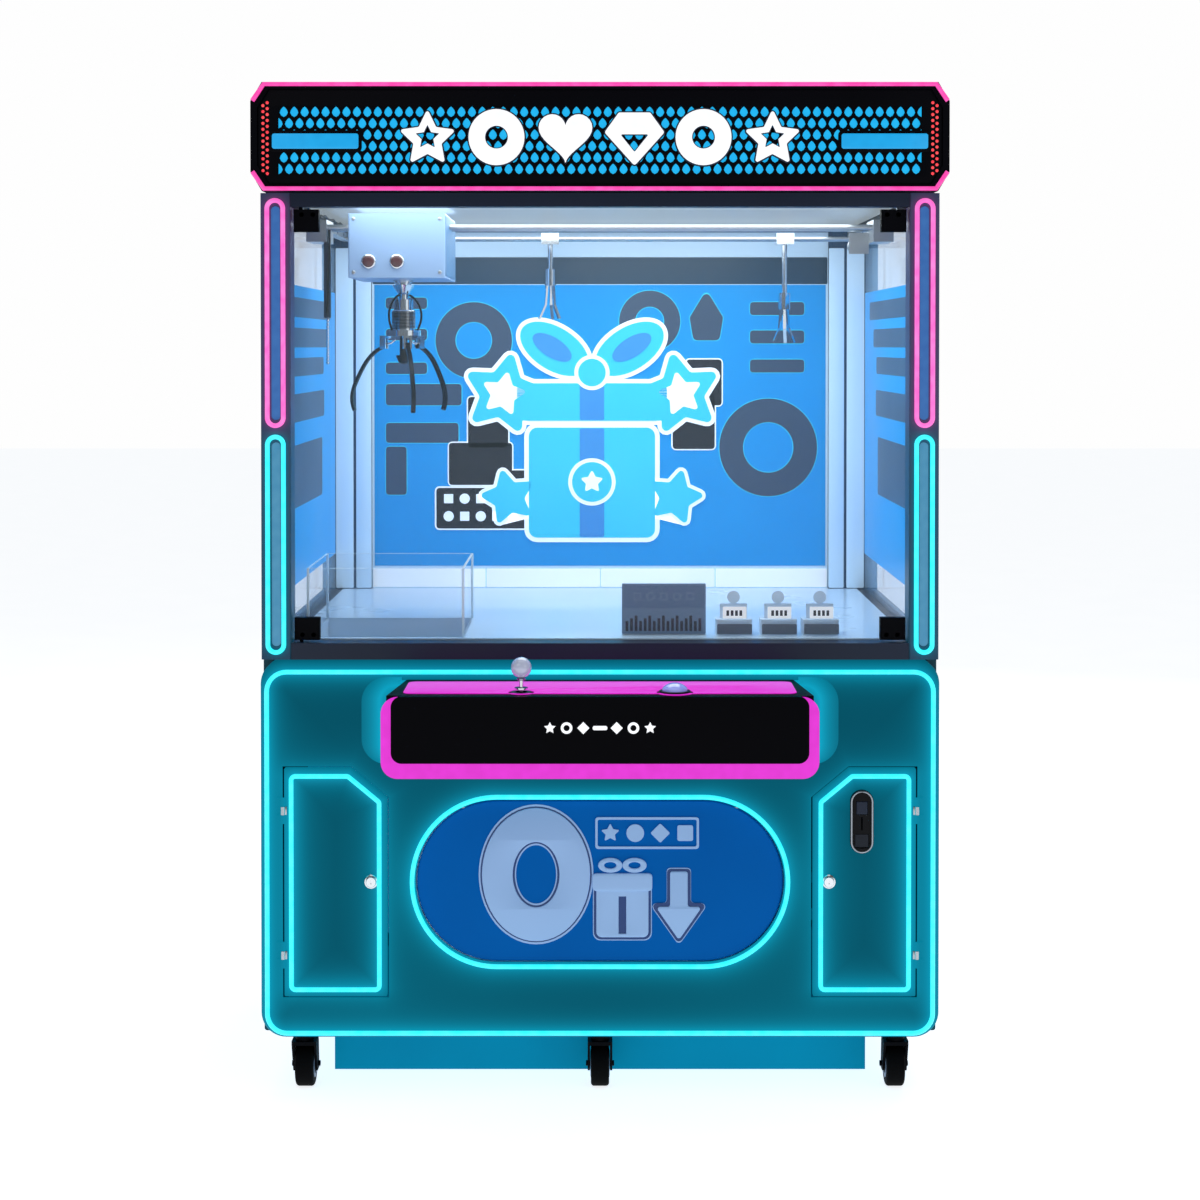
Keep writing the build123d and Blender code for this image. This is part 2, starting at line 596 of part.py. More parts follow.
def console():
    """Console housing, front glass, lit trim and top plate with holes for the controls."""
    low, high = CONSOLE_BOTTOM, CONSOLE_TOP - TOP_T
    face_y = FRONT_Y - CONSOLE_REACH
    wrap = FACE_T + TRIM_T
    body = extrude(Plane.XY.offset(low) * console_plan(wrap), high - low)
    front_low = body.edges().filter_by(Axis.X).group_by(Axis.Y)[0].group_by(Axis.Z)[0]
    body = fillet(front_low, 30)
    hollow = extrude(Plane.XY.offset(low + CONSOLE_WALL) * console_plan(wrap + CONSOLE_WALL),
                     high - low)
    housing = body - hollow
    half = CONSOLE_FRONT_HALF
    trim = rounded(-half, half, low, CONSOLE_TOP - 2, CONSOLE_R)
    glass_half, glass_low = half - FACE_SIDE_MARGIN, low + FACE_BOTTOM_MARGIN
    keep("console_trim", front_plate(trim, face_y + FACE_T, TRIM_T))
    glass = rounded(-glass_half, glass_half, glass_low, CONSOLE_TOP, FACE_R)
    keep("console_glass", front_plate(glass, face_y, FACE_T))
    plan = console_plan(wrap)
    top = extrude(Plane.XY.offset(high) * plan, TOP_T)
    y = face_y + CONTROL_SETBACK
    top -= rod(JOYSTICK_X, y, high - 1, GIMBAL_R + 1, TOP_T + 2)
    top -= rod(BUTTON_X, y, high - 1, BUTTON_R + 3 + RUN_CLEARANCE, TOP_T + 2)
    keep("console_housing", housing, top)


def controls():
    """Joystick in its gimbal, and the drop button in its bezel."""
    y = FRONT_Y - CONSOLE_REACH + CONTROL_SETBACK
    pivot = CONSOLE_TOP - PIVOT_DEPTH
    ring_in, ring_out = GIMBAL_R - 6, GIMBAL_R - 1
    gimbal = rod(JOYSTICK_X, y, pivot - 4, ring_out, 8) - rod(JOYSTICK_X, y, pivot - 5, ring_in, 10)
    for side in (-1, 1):
        gimbal += rod(JOYSTICK_X + side * (ring_in + 1), y, pivot, GIMBAL_PIN_R, HOUSING_R - ring_in - 2,
                      (side, 0, 0))
    gimbal -= rod(JOYSTICK_X, y - 30, pivot, STICK_PIN_R + BORE_PLAY, 60, (0, 1, 0))
    keep("joystick_gimbal", gimbal)
    stick = rod(JOYSTICK_X, y, pivot - 16, STICK_R, 16 + PIVOT_DEPTH + STICK_L)
    stick += rod(JOYSTICK_X, y - ring_out, pivot, STICK_PIN_R, 2 * ring_out, (0, 1, 0))
    stick += Pos(JOYSTICK_X, y, CONSOLE_TOP + STICK_L) * Sphere(BALL_R)
    stick += rod(JOYSTICK_X, y, CONSOLE_TOP + 8, DUST_R - 8, 3)
    keep("joystick_stick", stick)
    housing_low = pivot - 26
    housing_h = CONSOLE_TOP - TOP_T - housing_low
    housing = rod(JOYSTICK_X, y, housing_low, HOUSING_R, housing_h)
    housing -= rod(JOYSTICK_X, y, housing_low + 3, HOUSING_R - 6, housing_h)
    housing -= rod(JOYSTICK_X - 60, y, pivot, GIMBAL_PIN_R + BORE_PLAY, 120, (1, 0, 0))
    plate = rod(JOYSTICK_X, y, CONSOLE_TOP, DUST_R, 2)
    plate -= rod(JOYSTICK_X, y, CONSOLE_TOP - 1, GIMBAL_R - 5, 9)
    bezel = rod(BUTTON_X, y, CONSOLE_TOP, BUTTON_R + 7, 5)
    bezel = fillet(bezel.edges().group_by(Axis.Z)[-1], 2.5)
    bezel += rod(BUTTON_X, y, CONSOLE_TOP - 24, BUTTON_R + 3, 24)
    bezel -= rod(BUTTON_X, y, CONSOLE_TOP - 20, BUTTON_R + RUN_CLEARANCE, 40)
    keep("control_mounts", housing, plate, bezel)
    cap_top = CONSOLE_TOP + 5 + BUTTON_TRAVEL
    cap = rod(BUTTON_X, y, CONSOLE_TOP - 12, BUTTON_R, cap_top - CONSOLE_TOP + 12)
    dome = Pos(BUTTON_X, y, cap_top - DOME_DROP) * Sphere((BUTTON_R ** 2 + DOME_DROP ** 2) ** 0.5)
    dome &= rod(BUTTON_X, y, cap_top - 1, BUTTON_R, 30)
    keep("drop_button", cap + dome)


# ---- doors --------------------------------------------------------------------------------------------
def service_doors():
    """Hinged service doors with their light tubes and cam locks."""
    door = front_plate(door_outline(0), FRONT_Y - DOOR_PROUD, DOOR_T)
    door = fillet(door.faces().sort_by(Axis.Y)[0].edges(), 2)
    door -= front_plate(door_outline(26), FRONT_Y - DOOR_PROUD - 1, 5)
    door -= rod(-LOCK_X, FRONT_Y - 20, LOCK_Z, LOCK_R + RUN_CLEARANCE, 60, (0, 1, 0))
    pin_x, pin_y = -DOOR_OUTER_X - HINGE_OUT, FRONT_Y - HINGE_FORWARD
    for z in hinge_heights():
        low = z - KNUCKLE_L / 2
        door += rod(pin_x, pin_y, low, KNUCKLE_R, KNUCKLE_L)
        door += block(pin_x, pin_x + 9, pin_y - 1, FRONT_Y, low, low + KNUCKLE_L)
        door -= rod(pin_x, pin_y, low - 1, HINGE_PIN_R + BORE_PLAY, KNUCKLE_L + 2)
    wire = fillet(door_outline(16).vertices(), 9).wire()
    tube = tube_along(wire, FRONT_Y - DOOR_PROUD - TUBE_R)
    right = mirrored(door) - coin_recess()
    keep("left_door", door, tube)
    keep("right_door", right, mirrored(tube))
    lock = cam_lock()
    keep("left_lock", lock)
    keep("right_lock", mirrored(lock))


def cam_lock():
    """Left lock: plug through the door, with its cam hanging down behind it."""
    plug = rod(-LOCK_X, FRONT_Y - DOOR_PROUD - 3, LOCK_Z, LOCK_R, DOOR_T + 14, (0, 1, 0))
    plug -= block(-LOCK_X - 1, -LOCK_X + 1, FRONT_Y - 12, FRONT_Y - DOOR_PROUD + 1,
                  LOCK_Z - 4, LOCK_Z + 4)
    y = FRONT_Y - DOOR_PROUD + DOOR_T + 5
    cam = block(-LOCK_X - 8, -LOCK_X + 8, y, y + 4, LOCK_Z - CAM_REACH, LOCK_Z)
    return plug + cam


def coin_recess():
    """Hole in the right door for the coin entry's body."""
    hole = SlotOverall(COIN_H - 10, COIN_W - 10, rotation=90)
    return front_plate(Pos(COIN_X, COIN_Z) * hole, FRONT_Y - 20, 60)


def coin_entry():
    """Coin entry: bezel with slot, reject button and the return flap at its foot."""
    face_y = FRONT_Y - DOOR_PROUD
    y0 = face_y - COIN_BEZEL_T
    bezel = front_plate(Pos(COIN_X, COIN_Z) * SlotOverall(COIN_H, COIN_W, rotation=90), y0, COIN_BEZEL_T)
    bezel = fillet(bezel.faces().sort_by(Axis.Y)[0].edges(), 3)
    bezel -= front_plate(Pos(COIN_X, COIN_Z) * SlotOverall(COIN_H - 22, COIN_W - 14, rotation=90),
                         y0 - 1, 3)
    stem = Pos(COIN_X, COIN_Z) * SlotOverall(COIN_H - 14, COIN_W - 14, rotation=90)
    bezel += front_plate(stem, face_y, 40)
    tray_gap = block(COIN_X - COIN_W, COIN_X + COIN_W, face_y, face_y + 4, COIN_Z - COIN_H, COIN_Z + COIN_H)
    bezel += tray_gap & front_plate(Pos(COIN_X, COIN_Z) * SlotOverall(COIN_H, COIN_W, rotation=90),
                                    face_y, 4)
    play = RUN_CLEARANCE
    half, rise = COIN_BUTTON_W / 2, COIN_BUTTON_H / 2
    bezel -= block(COIN_X - half - play, COIN_X + half + play, y0 - 1, y0 + 26,
                   COIN_BUTTON_Z - rise - play, COIN_BUTTON_Z + rise + play)
    bezel -= block(COIN_X - 1.6, COIN_X + 1.6, y0 - 1, y0 + 60, COIN_Z - 18, COIN_Z + 10)
    flap_top, flap_low = COIN_Z - 26, COIN_Z - 56
    bezel -= block(COIN_X - 15, COIN_X + 15, y0 - 1, y0 + 34, flap_low, flap_top)
    button = block(COIN_X - half, COIN_X + half, y0 + 1, y0 + 18, COIN_BUTTON_Z - rise,
                   COIN_BUTTON_Z + rise)
    button = fillet(button.faces().sort_by(Axis.Y)[0].edges(), 2)
    keep("coin_entry", bezel)
    keep("coin_reject_button", button)
    flap = block(COIN_X - 14, COIN_X + 14, y0 + 4, y0 + 6.5, flap_low + 1, flap_top - 2)
    flap += rod(COIN_X - 14, y0 + 5.3, flap_top - 2, 1.5, 28, (1, 0, 0))
    keep("coin_return_flap", flap)


def prize_flap():
    """Flap over the prize opening, hung on a rod that passes through its top edge."""
    y0 = FRONT_Y + FLAP_SET_BACK
    plate = front_plate(stadium(FLAP_W - 2 * GAP + 2, FLAP_H - 2 * GAP + 2, FLAP_Z), y0, FLAP_T)
    plate = fillet(plate.faces().sort_by(Axis.Y)[0].edges(), 3)
    pivot_y = y0 + FLAP_T / 2
    pivot_z = FLAP_Z + FLAP_H / 2 - GAP - FLAP_PIVOT_DROP
    length = FLAP_BRACKET_X + FLAP_BRACKET_W
    plate -= rod(-length, pivot_y, pivot_z, FLAP_ROD_R + BORE_PLAY, 2 * length, (1, 0, 0))
    keep("prize_flap", plate)
    hinge = rod(-length, pivot_y, pivot_z, FLAP_ROD_R, 2 * length, (1, 0, 0))
    bracket = block(FLAP_BRACKET_X, length, FRONT_Y + SHELL_WALL, pivot_y + FLAP_ROD_R + 4,
                    pivot_z - FLAP_ROD_R - 2, FLAP_Z + FLAP_H / 2 + 24)
    keep("flap_hinge", hinge + bracket + mirrored(bracket))


# ---- glass door -----------------------------------------------------------------------------------------
def glass_pivot():
    """Plan position of the glass door's pivot."""
    half = POST_OUTER_X - POST_W - GLASS_EDGE_GAP
    return -half + GLASS_PIVOT_INSET, FRONT_Y + GLASS_SETBACK + GLASS_T / 2


def glass_door():
    """Front pane on patch fittings; the left ones turn on pins in the frame."""
    half = POST_OUTER_X - POST_W - GLASS_EDGE_GAP
    y0 = FRONT_Y + GLASS_SETBACK
    middle = y0 + GLASS_T / 2
    low, high = SILL_TOP + GLASS_EDGE_GAP, GLASS_TOP - GLASS_EDGE_GAP
    pane = block(-half, half, y0, y0 + GLASS_T, low, high)
    fittings = []
    for z0 in (low, high - FITTING_H):
        z1 = z0 + FITTING_H
        body = block(-half, -half + FITTING_L, middle - FITTING_T / 2, middle + FITTING_T / 2, z0, z1)
        body -= block(-half + FITTING_BODY, half, y0, y0 + GLASS_T, z0 - 1, z1 + 1)
        notch = block(-half - 1, -half + FITTING_BODY, y0 - 1, y0 + GLASS_T + 1, z0 - 1, z1 + 1)
        pane -= notch
        pane -= mirrored(notch)
        fittings += [body, mirrored(body)]
    x, y = glass_pivot()
    reach = GLASS_EDGE_GAP + GLASS_PIN_L
    fittings[0] += rod(x, y, low - reach, GLASS_PIN_R, reach + 1)
    fittings[2] += rod(x, y, high - 1, GLASS_PIN_R, reach + 1)
    keep("glass_pane", pane)
    keep("glass_fittings", *fittings)


# ---- gantry and claw --------------------------------------------------------------------------------------
def rails():
    """Side rails for the bridge, and the fixed rods at the back that carry the hangers."""
    y0, y1 = FRONT_Y + POST_W + 10, BACK_Y - REAR_POST_D - 10
    outer, inner = RAIL_X + RAIL_W / 2, RAIL_X - RAIL_W / 2
    rail = block(-outer, -inner, y0, y1, RAIL_TOP - RAIL_H, RAIL_TOP)
    rail += block(-outer, -inner, y0, y0 + 20, RAIL_TOP, CEILING_Z)
    rail += block(-outer, -inner, y1 - 20, y1, RAIL_TOP, CEILING_Z)
    solids = [rail, mirrored(rail)]
    for side in (-1, 1):
        y = HANGER_Y + side * HANGER_ROD_SPACING / 2
        solids.append(rod(-inner, y, ROD_Z, HANGER_ROD_R, 2 * inner, (1, 0, 0)))
    keep("gantry_rails", *solids)


def bridge():
    """Bridge: two rods between end trucks that run along the side rails, with its drive motor."""
    outer, inner = RAIL_X + RAIL_W / 2, RAIL_X - RAIL_W / 2
    edge = inner - TRUCK_W
    y0, y1 = BRIDGE_Y - TRUCK_L / 2, BRIDGE_Y + TRUCK_L / 2
    rail_low = RAIL_TOP - RAIL_H
    low = rail_low - TRUCK_H
    truck = block(-outer, -edge, y0, y1, low, rail_low - RUN_CLEARANCE)
    truck += block(-inner + RUN_CLEARANCE, -edge, y0, y1, low, RAIL_TOP)
    rods = []
    for side in (-1, 1):
        y = BRIDGE_Y + side * ROD_SPACING / 2
        rods.append(rod(-edge, y, ROD_Z, ROD_R, 2 * edge, (1, 0, 0)))
    plate_y = y1 - 44
    motor = rod(edge - 26, plate_y + 4, low - 4, 17, 62, (0, 1, 0))
    bracket = block(edge - 46, edge, plate_y, plate_y + 4, low - 24, low + 24)
    keep("bridge", *rods, truck, mirrored(truck), motor + bracket)


def stage_radius(stage):
    """Outer radius of hoist stage number stage; stage 0 is fixed to the trolley."""
    return HOIST_R - stage * (HOIST_WALL + RUN_CLEARANCE)


def trolley():
    """Trolley: cover box, carriage with rod bushes, winch and the hoist's fixed outer tube."""
    x0, x1 = TROLLEY_X - COVER_W / 2, TROLLEY_X + COVER_W / 2
    y0, y1 = BRIDGE_Y - COVER_D / 2, BRIDGE_Y + COVER_D / 2
    cover = block(x0, x1, y0, y1, COVER_BOTTOM, COVER_TOP)
    cover = fillet(cover.edges().filter_by(Axis.Z), 4)
    cover -= block(x0 + COVER_T, x1 - COVER_T, y0 + COVER_T, y1 - COVER_T,
                   COVER_BOTTOM + COVER_T, COVER_TOP - COVER_T)
    cover -= rod(TROLLEY_X, BRIDGE_Y, COVER_BOTTOM - 1, HOIST_R, COVER_T + 2)
    for side in (-1, 1):
        y = BRIDGE_Y + side * ROD_SPACING / 2
        cover -= rod(x0 - 1, y, ROD_Z, ROD_R + 4, COVER_W + 2, (1, 0, 0))
    for x in (TROLLEY_X - LAMP_SPREAD, TROLLEY_X):
        lamp = rod(x, y0 - 7, COVER_BOTTOM + 36, 12, 8, (0, 1, 0))
        cover += fillet(lamp.edges().group_by(Axis.Y)[0], 5)
    keep("trolley_cover", cover)
    plate_low = ROD_Z - 26
    bore = rod(TROLLEY_X, BRIDGE_Y, COVER_BOTTOM - 1, HOIST_R - HOIST_WALL, HOIST_L + 60)
    carriage = block(x0 + 20, x1 - 20, BRIDGE_Y - 62, BRIDGE_Y + 62, plate_low, plate_low + CARRIAGE_T)
    for side in (-1, 1):
        y = BRIDGE_Y + side * ROD_SPACING / 2
        for x in (x0 + 24, x1 - 54):
            carriage += block(x, x + 30, y - 12, y + 12, plate_low, ROD_Z + 12)
        carriage -= rod(x0, y, ROD_Z, ROD_R + 0.05, COVER_W, (1, 0, 0))
    carriage += rod(TROLLEY_X, BRIDGE_Y, COVER_BOTTOM, HOIST_R, HOIST_L)
    winch_y, winch_z = BRIDGE_Y - 100, ROD_Z - 62
    carriage += rod(TROLLEY_X + 30, winch_y, winch_z, 20, 44, (0, 1, 0))
    carriage += block(TROLLEY_X + 4, TROLLEY_X + 56, winch_y - 54, winch_y + 1, winch_z - 26, winch_z + 26)
    carriage += block(TROLLEY_X + 22, TROLLEY_X + 38, winch_y + 36, winch_y + 44, winch_z, plate_low + 1)
    keep("trolley_carriage", carriage - bore)


def hoist():
    """Telescoping hoist tubes, and the claw head on the innermost stem."""
    for stage in range(1, HOIST_STAGES + 1):
        radius = stage_radius(stage)
        low = COVER_BOTTOM - HOIST_STAGGER * stage
        tube = rod(TROLLEY_X, BRIDGE_Y, low, radius, HOIST_L)
        tube -= rod(TROLLEY_X, BRIDGE_Y, low - 1, radius - HOIST_WALL, HOIST_L + 2)
        keep(f"hoist_tube_{stage}", tube)
    stem_low = COVER_BOTTOM - HOIST_STAGGER * (HOIST_STAGES + 1)
    head = rod(TROLLEY_X, BRIDGE_Y, stem_low, stage_radius(HOIST_STAGES + 1), HOIST_L)
    cone_low = SOLENOID_TOP + 12
    head += Solid.make_cone(12, 26, stem_low - cone_low + 0.5,
                            plane=Plane((TROLLEY_X, BRIDGE_Y, cone_low)))
    head += rod(TROLLEY_X, BRIDGE_Y, SOLENOID_TOP, 12, 13)
    head += rod(TROLLEY_X, BRIDGE_Y, SOLENOID_TOP - 26, SOLENOID_R - 4, 26)
    body = rod(TROLLEY_X, BRIDGE_Y, SOLENOID_TOP - SOLENOID_H, SOLENOID_R, SOLENOID_H - 24)
    head += fillet(body.edges().group_by(Axis.Z)[-1], 3)
    collar_low = SOLENOID_TOP - SOLENOID_H - COLLAR_H
    head += rod(TROLLEY_X, BRIDGE_Y, collar_low, COLLAR_R, COLLAR_H + 1)
    for i in range(FINGER_COUNT):
        head += at_claw(i, collar_low) * finger_lugs()
    head -= rod(TROLLEY_X, BRIDGE_Y, collar_low - 1, PLUNGER_R + RUN_CLEARANCE, PLUNGER_L)
    keep("claw_head", head)
    low = collar_low - PLUNGER_DROP
    plunger = rod(TROLLEY_X, BRIDGE_Y, low, PLUNGER_R, PLUNGER_L)
    plunger += rod(TROLLEY_X, BRIDGE_Y, low, BOWL_R + 2, 6)
    bowl = Pos(TROLLEY_X, BRIDGE_Y, low) * Sphere(BOWL_R)
    bowl &= rod(TROLLEY_X, BRIDGE_Y, low - BOWL_R, BOWL_R + 1, BOWL_R + 1)
    keep("claw_plunger", plunger + bowl)
    for i in range(FINGER_COUNT):
        keep(f"claw_finger_{i + 1}", at_claw(i, collar_low) * finger())


def finger_lugs():
    """Fork under the collar that holds one finger's pin."""
    half = FINGER_W / 2 + LUG_GAP
    wall = 4.0
    lugs = block(FINGER_PIVOT_R - 7, FINGER_PIVOT_R + 7, -half - wall, half + wall,
                 -FINGER_PIVOT_DROP - 7, 1)
    lugs += block(FINGER_PIVOT_R - 14, FINGER_PIVOT_R + 7, -half - wall, half + wall, -5, 1)
    lugs -= block(FINGER_PIVOT_R - 8, FINGER_PIVOT_R + 8, -half, half, -FINGER_PIVOT_DROP - 9, -5)
    return lugs + rod(FINGER_PIVOT_R, -half - wall, -FINGER_PIVOT_DROP, FINGER_PIN_R,
                      2 * (half + wall), (0, 1, 0))


def at_claw(index, z):
    """Placement of finger number index: radial direction along its own X."""
    azimuth = FINGER_FIRST_AZIMUTH + index * 360.0 / FINGER_COUNT
    return Pos(TROLLEY_X, BRIDGE_Y, z) * Rot(0, 0, azimuth)


def finger():
    """One finger in its radial plane: pivot boss, arm out to the elbow, prong down to the tip."""
    px, pz = FINGER_PIVOT_R, -FINGER_PIVOT_DROP
    centre = [(px + 4, pz - 4), (84.0, -50.0), (108.0, -88.0), (126.0, -136.0), (120.0, -172.0)]
    path = Spline(*[(x, 0, z) for x, z in centre])
    section = Plane(path @ 0, x_dir=(0, 1, 0), z_dir=path % 0) * Rectangle(FINGER_W, FINGER_T)
    arm = sweep(section, path=path)
    arm += rod(px, -FINGER_W / 2, pz, FINGER_PIN_R + 4, FINGER_W, (0, 1, 0))
    return arm - rod(px, -FINGER_W, pz, FINGER_PIN_R + BORE_PLAY, 2 * FINGER_W, (0, 1, 0))


def hangers():
    """Two sliding hangers on the rear rods, each with a stem and three prongs."""
    for name, x, stem_l in zip(("hanger_left", "hanger_right"), HANGER_XS, HANGER_STEMS):
        clamp = block(x - 22, x + 22, HANGER_Y - 34, HANGER_Y + 34, ROD_Z - 14, ROD_Z + 14)
        for side in (-1, 1):
            y = HANGER_Y + side * HANGER_ROD_SPACING / 2
            clamp -= rod(x - 30, y, ROD_Z, HANGER_ROD_R + 0.05, 60, (1, 0, 0))
        low = ROD_Z - 14 - stem_l
        clamp += rod(x, HANGER_Y, low, 7, stem_l + 1)
        clamp += rod(x, HANGER_Y, low - 40, 15, 42)
        for i in range(3):
            turn = Pos(x, HANGER_Y, low - 38) * Rot(0, 0, 200 + i * 120)
            path = Polyline((9, 0, 0), (13, 0, -50), (30, 0, -86))
            section = Plane(path @ 0, x_dir=(0, 1, 0), z_dir=path % 0) * Rectangle(8, 5)
            clamp += turn * sweep(section, path=path, transition=Transition.RIGHT)
        keep(name, clamp)


# ---- casters --------------------------------------------------------------------------------------------
CASTERS = {
    "caster_front_left": (-CASTER_X, CASTER_FRONT_Y),
    "caster_front_right": (CASTER_X, CASTER_FRONT_Y),
    "caster_back_left": (-CASTER_X, CASTER_BACK_Y),
    "caster_back_right": (CASTER_X, CASTER_BACK_Y),
    "caster_centre": (0.0, CASTER_FRONT_Y),
}


def caster_plate(x, y):
    """Mounting plate with the bore for the king pin."""
    low = BODY_BOTTOM - CASTER_PLATE_T
    plate = block(x - 38, x + 38, y - 44, y + 44, low, BODY_BOTTOM)
    return plate - rod(x, y, low - 1, KING_PIN_R + BORE_PLAY, CASTER_PLATE_T - 0.5)


def caster(name, x, y):
    """Swivel fork with its axle, and the wheel on it."""
    neck = BODY_BOTTOM - CASTER_PLATE_T - 2
    axle_y, axle_z = y + WHEEL_TRAIL, WHEEL_R
    inner = WHEEL_W / 2 + 2
    crown_z = axle_z + WHEEL_R + 5
    fork = block(x - inner - FORK_T, x + inner + FORK_T, y - 24, y + 32, crown_z, crown_z + 8)
    fork = fillet(fork.edges().filter_by(Axis.Z), 8)
    fork += rod(x, y, crown_z + 7, 20, neck - crown_z - 7)
    fork += rod(x, y, neck - 1, KING_PIN_R, CASTER_PLATE_T)
    blade = make_face(Polyline((y - 18, crown_z + 2), (y + 28, crown_z + 2),
                               (axle_y + 14, axle_z - 12), (axle_y - 14, axle_z - 12), close=True))
    for side in (-1, 1):
        x0 = x + side * (inner + FORK_T / 2)
        plane = Plane((x0 - FORK_T / 2, 0, 0), x_dir=(0, 1, 0), z_dir=(1, 0, 0))
        fork += extrude(plane * blade, FORK_T)
    axle = inner + FORK_T + 4
    fork += rod(x - axle, axle_y, axle_z, AXLE_R, 2 * axle, (1, 0, 0))
    keep(f"{name}_fork", fork)
    wheel = rod(x - WHEEL_W / 2, axle_y, axle_z, WHEEL_R, WHEEL_W, (1, 0, 0))
    wheel = fillet(wheel.edges().filter_by(GeomType.CIRCLE), 7)
    wheel -= rod(x - WHEEL_W, axle_y, axle_z, AXLE_R + BORE_PLAY, 2 * WHEEL_W, (1, 0, 0))
    keep(f"{name}_wheel", wheel)


def running_gear():
    """Four corner casters and one near the front centre."""
    for name, (x, y) in CASTERS.items():
        caster(name, x, y)


def service_equipment():
    """Cash box, power supply, control board and mains inlet inside the lower body."""
    floor_z = BODY_BOTTOM + PAN_T
    y0 = FRONT_Y + SHELL_D + 30
    box = block(476, 660, y0, y0 + 220, floor_z, floor_z + 170)
    box -= block(480, 656, y0 + 4, y0 + 216, floor_z + 4, floor_z + 171)
    behind = HOLE_FRONT + HOLE_DEPTH + 60
    supply = block(-650, -520, behind, behind + 160, floor_z, floor_z + 70)
    board = block(-650, -420, behind + 230, behind + 250, floor_z, floor_z + 240)
    board += block(-610, -560, behind + 218, behind + 231, floor_z + 120, floor_z + 170)
    half_w, half_h = INLET_W / 2 - 0.5, INLET_H / 2 - 0.5
    inlet = block(INLET_X - half_w, INLET_X + half_w, BACK_Y - 30, BACK_Y - 1,
                  INLET_Z - half_h, INLET_Z + half_h)
    inlet -= block(INLET_X - 17, INLET_X + 17, BACK_Y - 18, BACK_Y, INLET_Z - 8, INLET_Z + 8)
    for pin_x, pin_z in ((-8, -2), (8, -2), (0, 3)):
        inlet += block(INLET_X + pin_x - 1.5, INLET_X + pin_x + 1.5, BACK_Y - 19, BACK_Y - 6,
                       INLET_Z + pin_z - 2.5, INLET_Z + pin_z + 2.5)
    keep("service_equipment", box, supply, board, inlet)


def main():
    """Builds every node and writes its STEP file."""
    for build in (base_pan, body_panels, front_shell, light_tubes, upper_frame, panes_and_wall,
                  prize_path, deck_fittings, canopy, console, controls, service_doors, coin_entry,
                  prize_flap, glass_door, rails, bridge, trolley, hoist, hangers, running_gear,
                  service_equipment):
        build()
    os.makedirs("parts", exist_ok=True)
    for name, shape in PARTS.items():
        export_step(shape, f"parts/{name}.step")
    print(len(PARTS), "nodes")


main()
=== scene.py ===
"""Looks of a wide prize crane: a lit claw cabinet with a joystick console and a prize flap.

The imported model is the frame. Each class below stands for one sub-assembly and builds its pieces in
metres, in the frame's own axes: +X to the player's right, +Y to the back, +Z up.
"""

import json
import logging
import math
from dataclasses import dataclass
from enum import Enum
from typing import Sequence

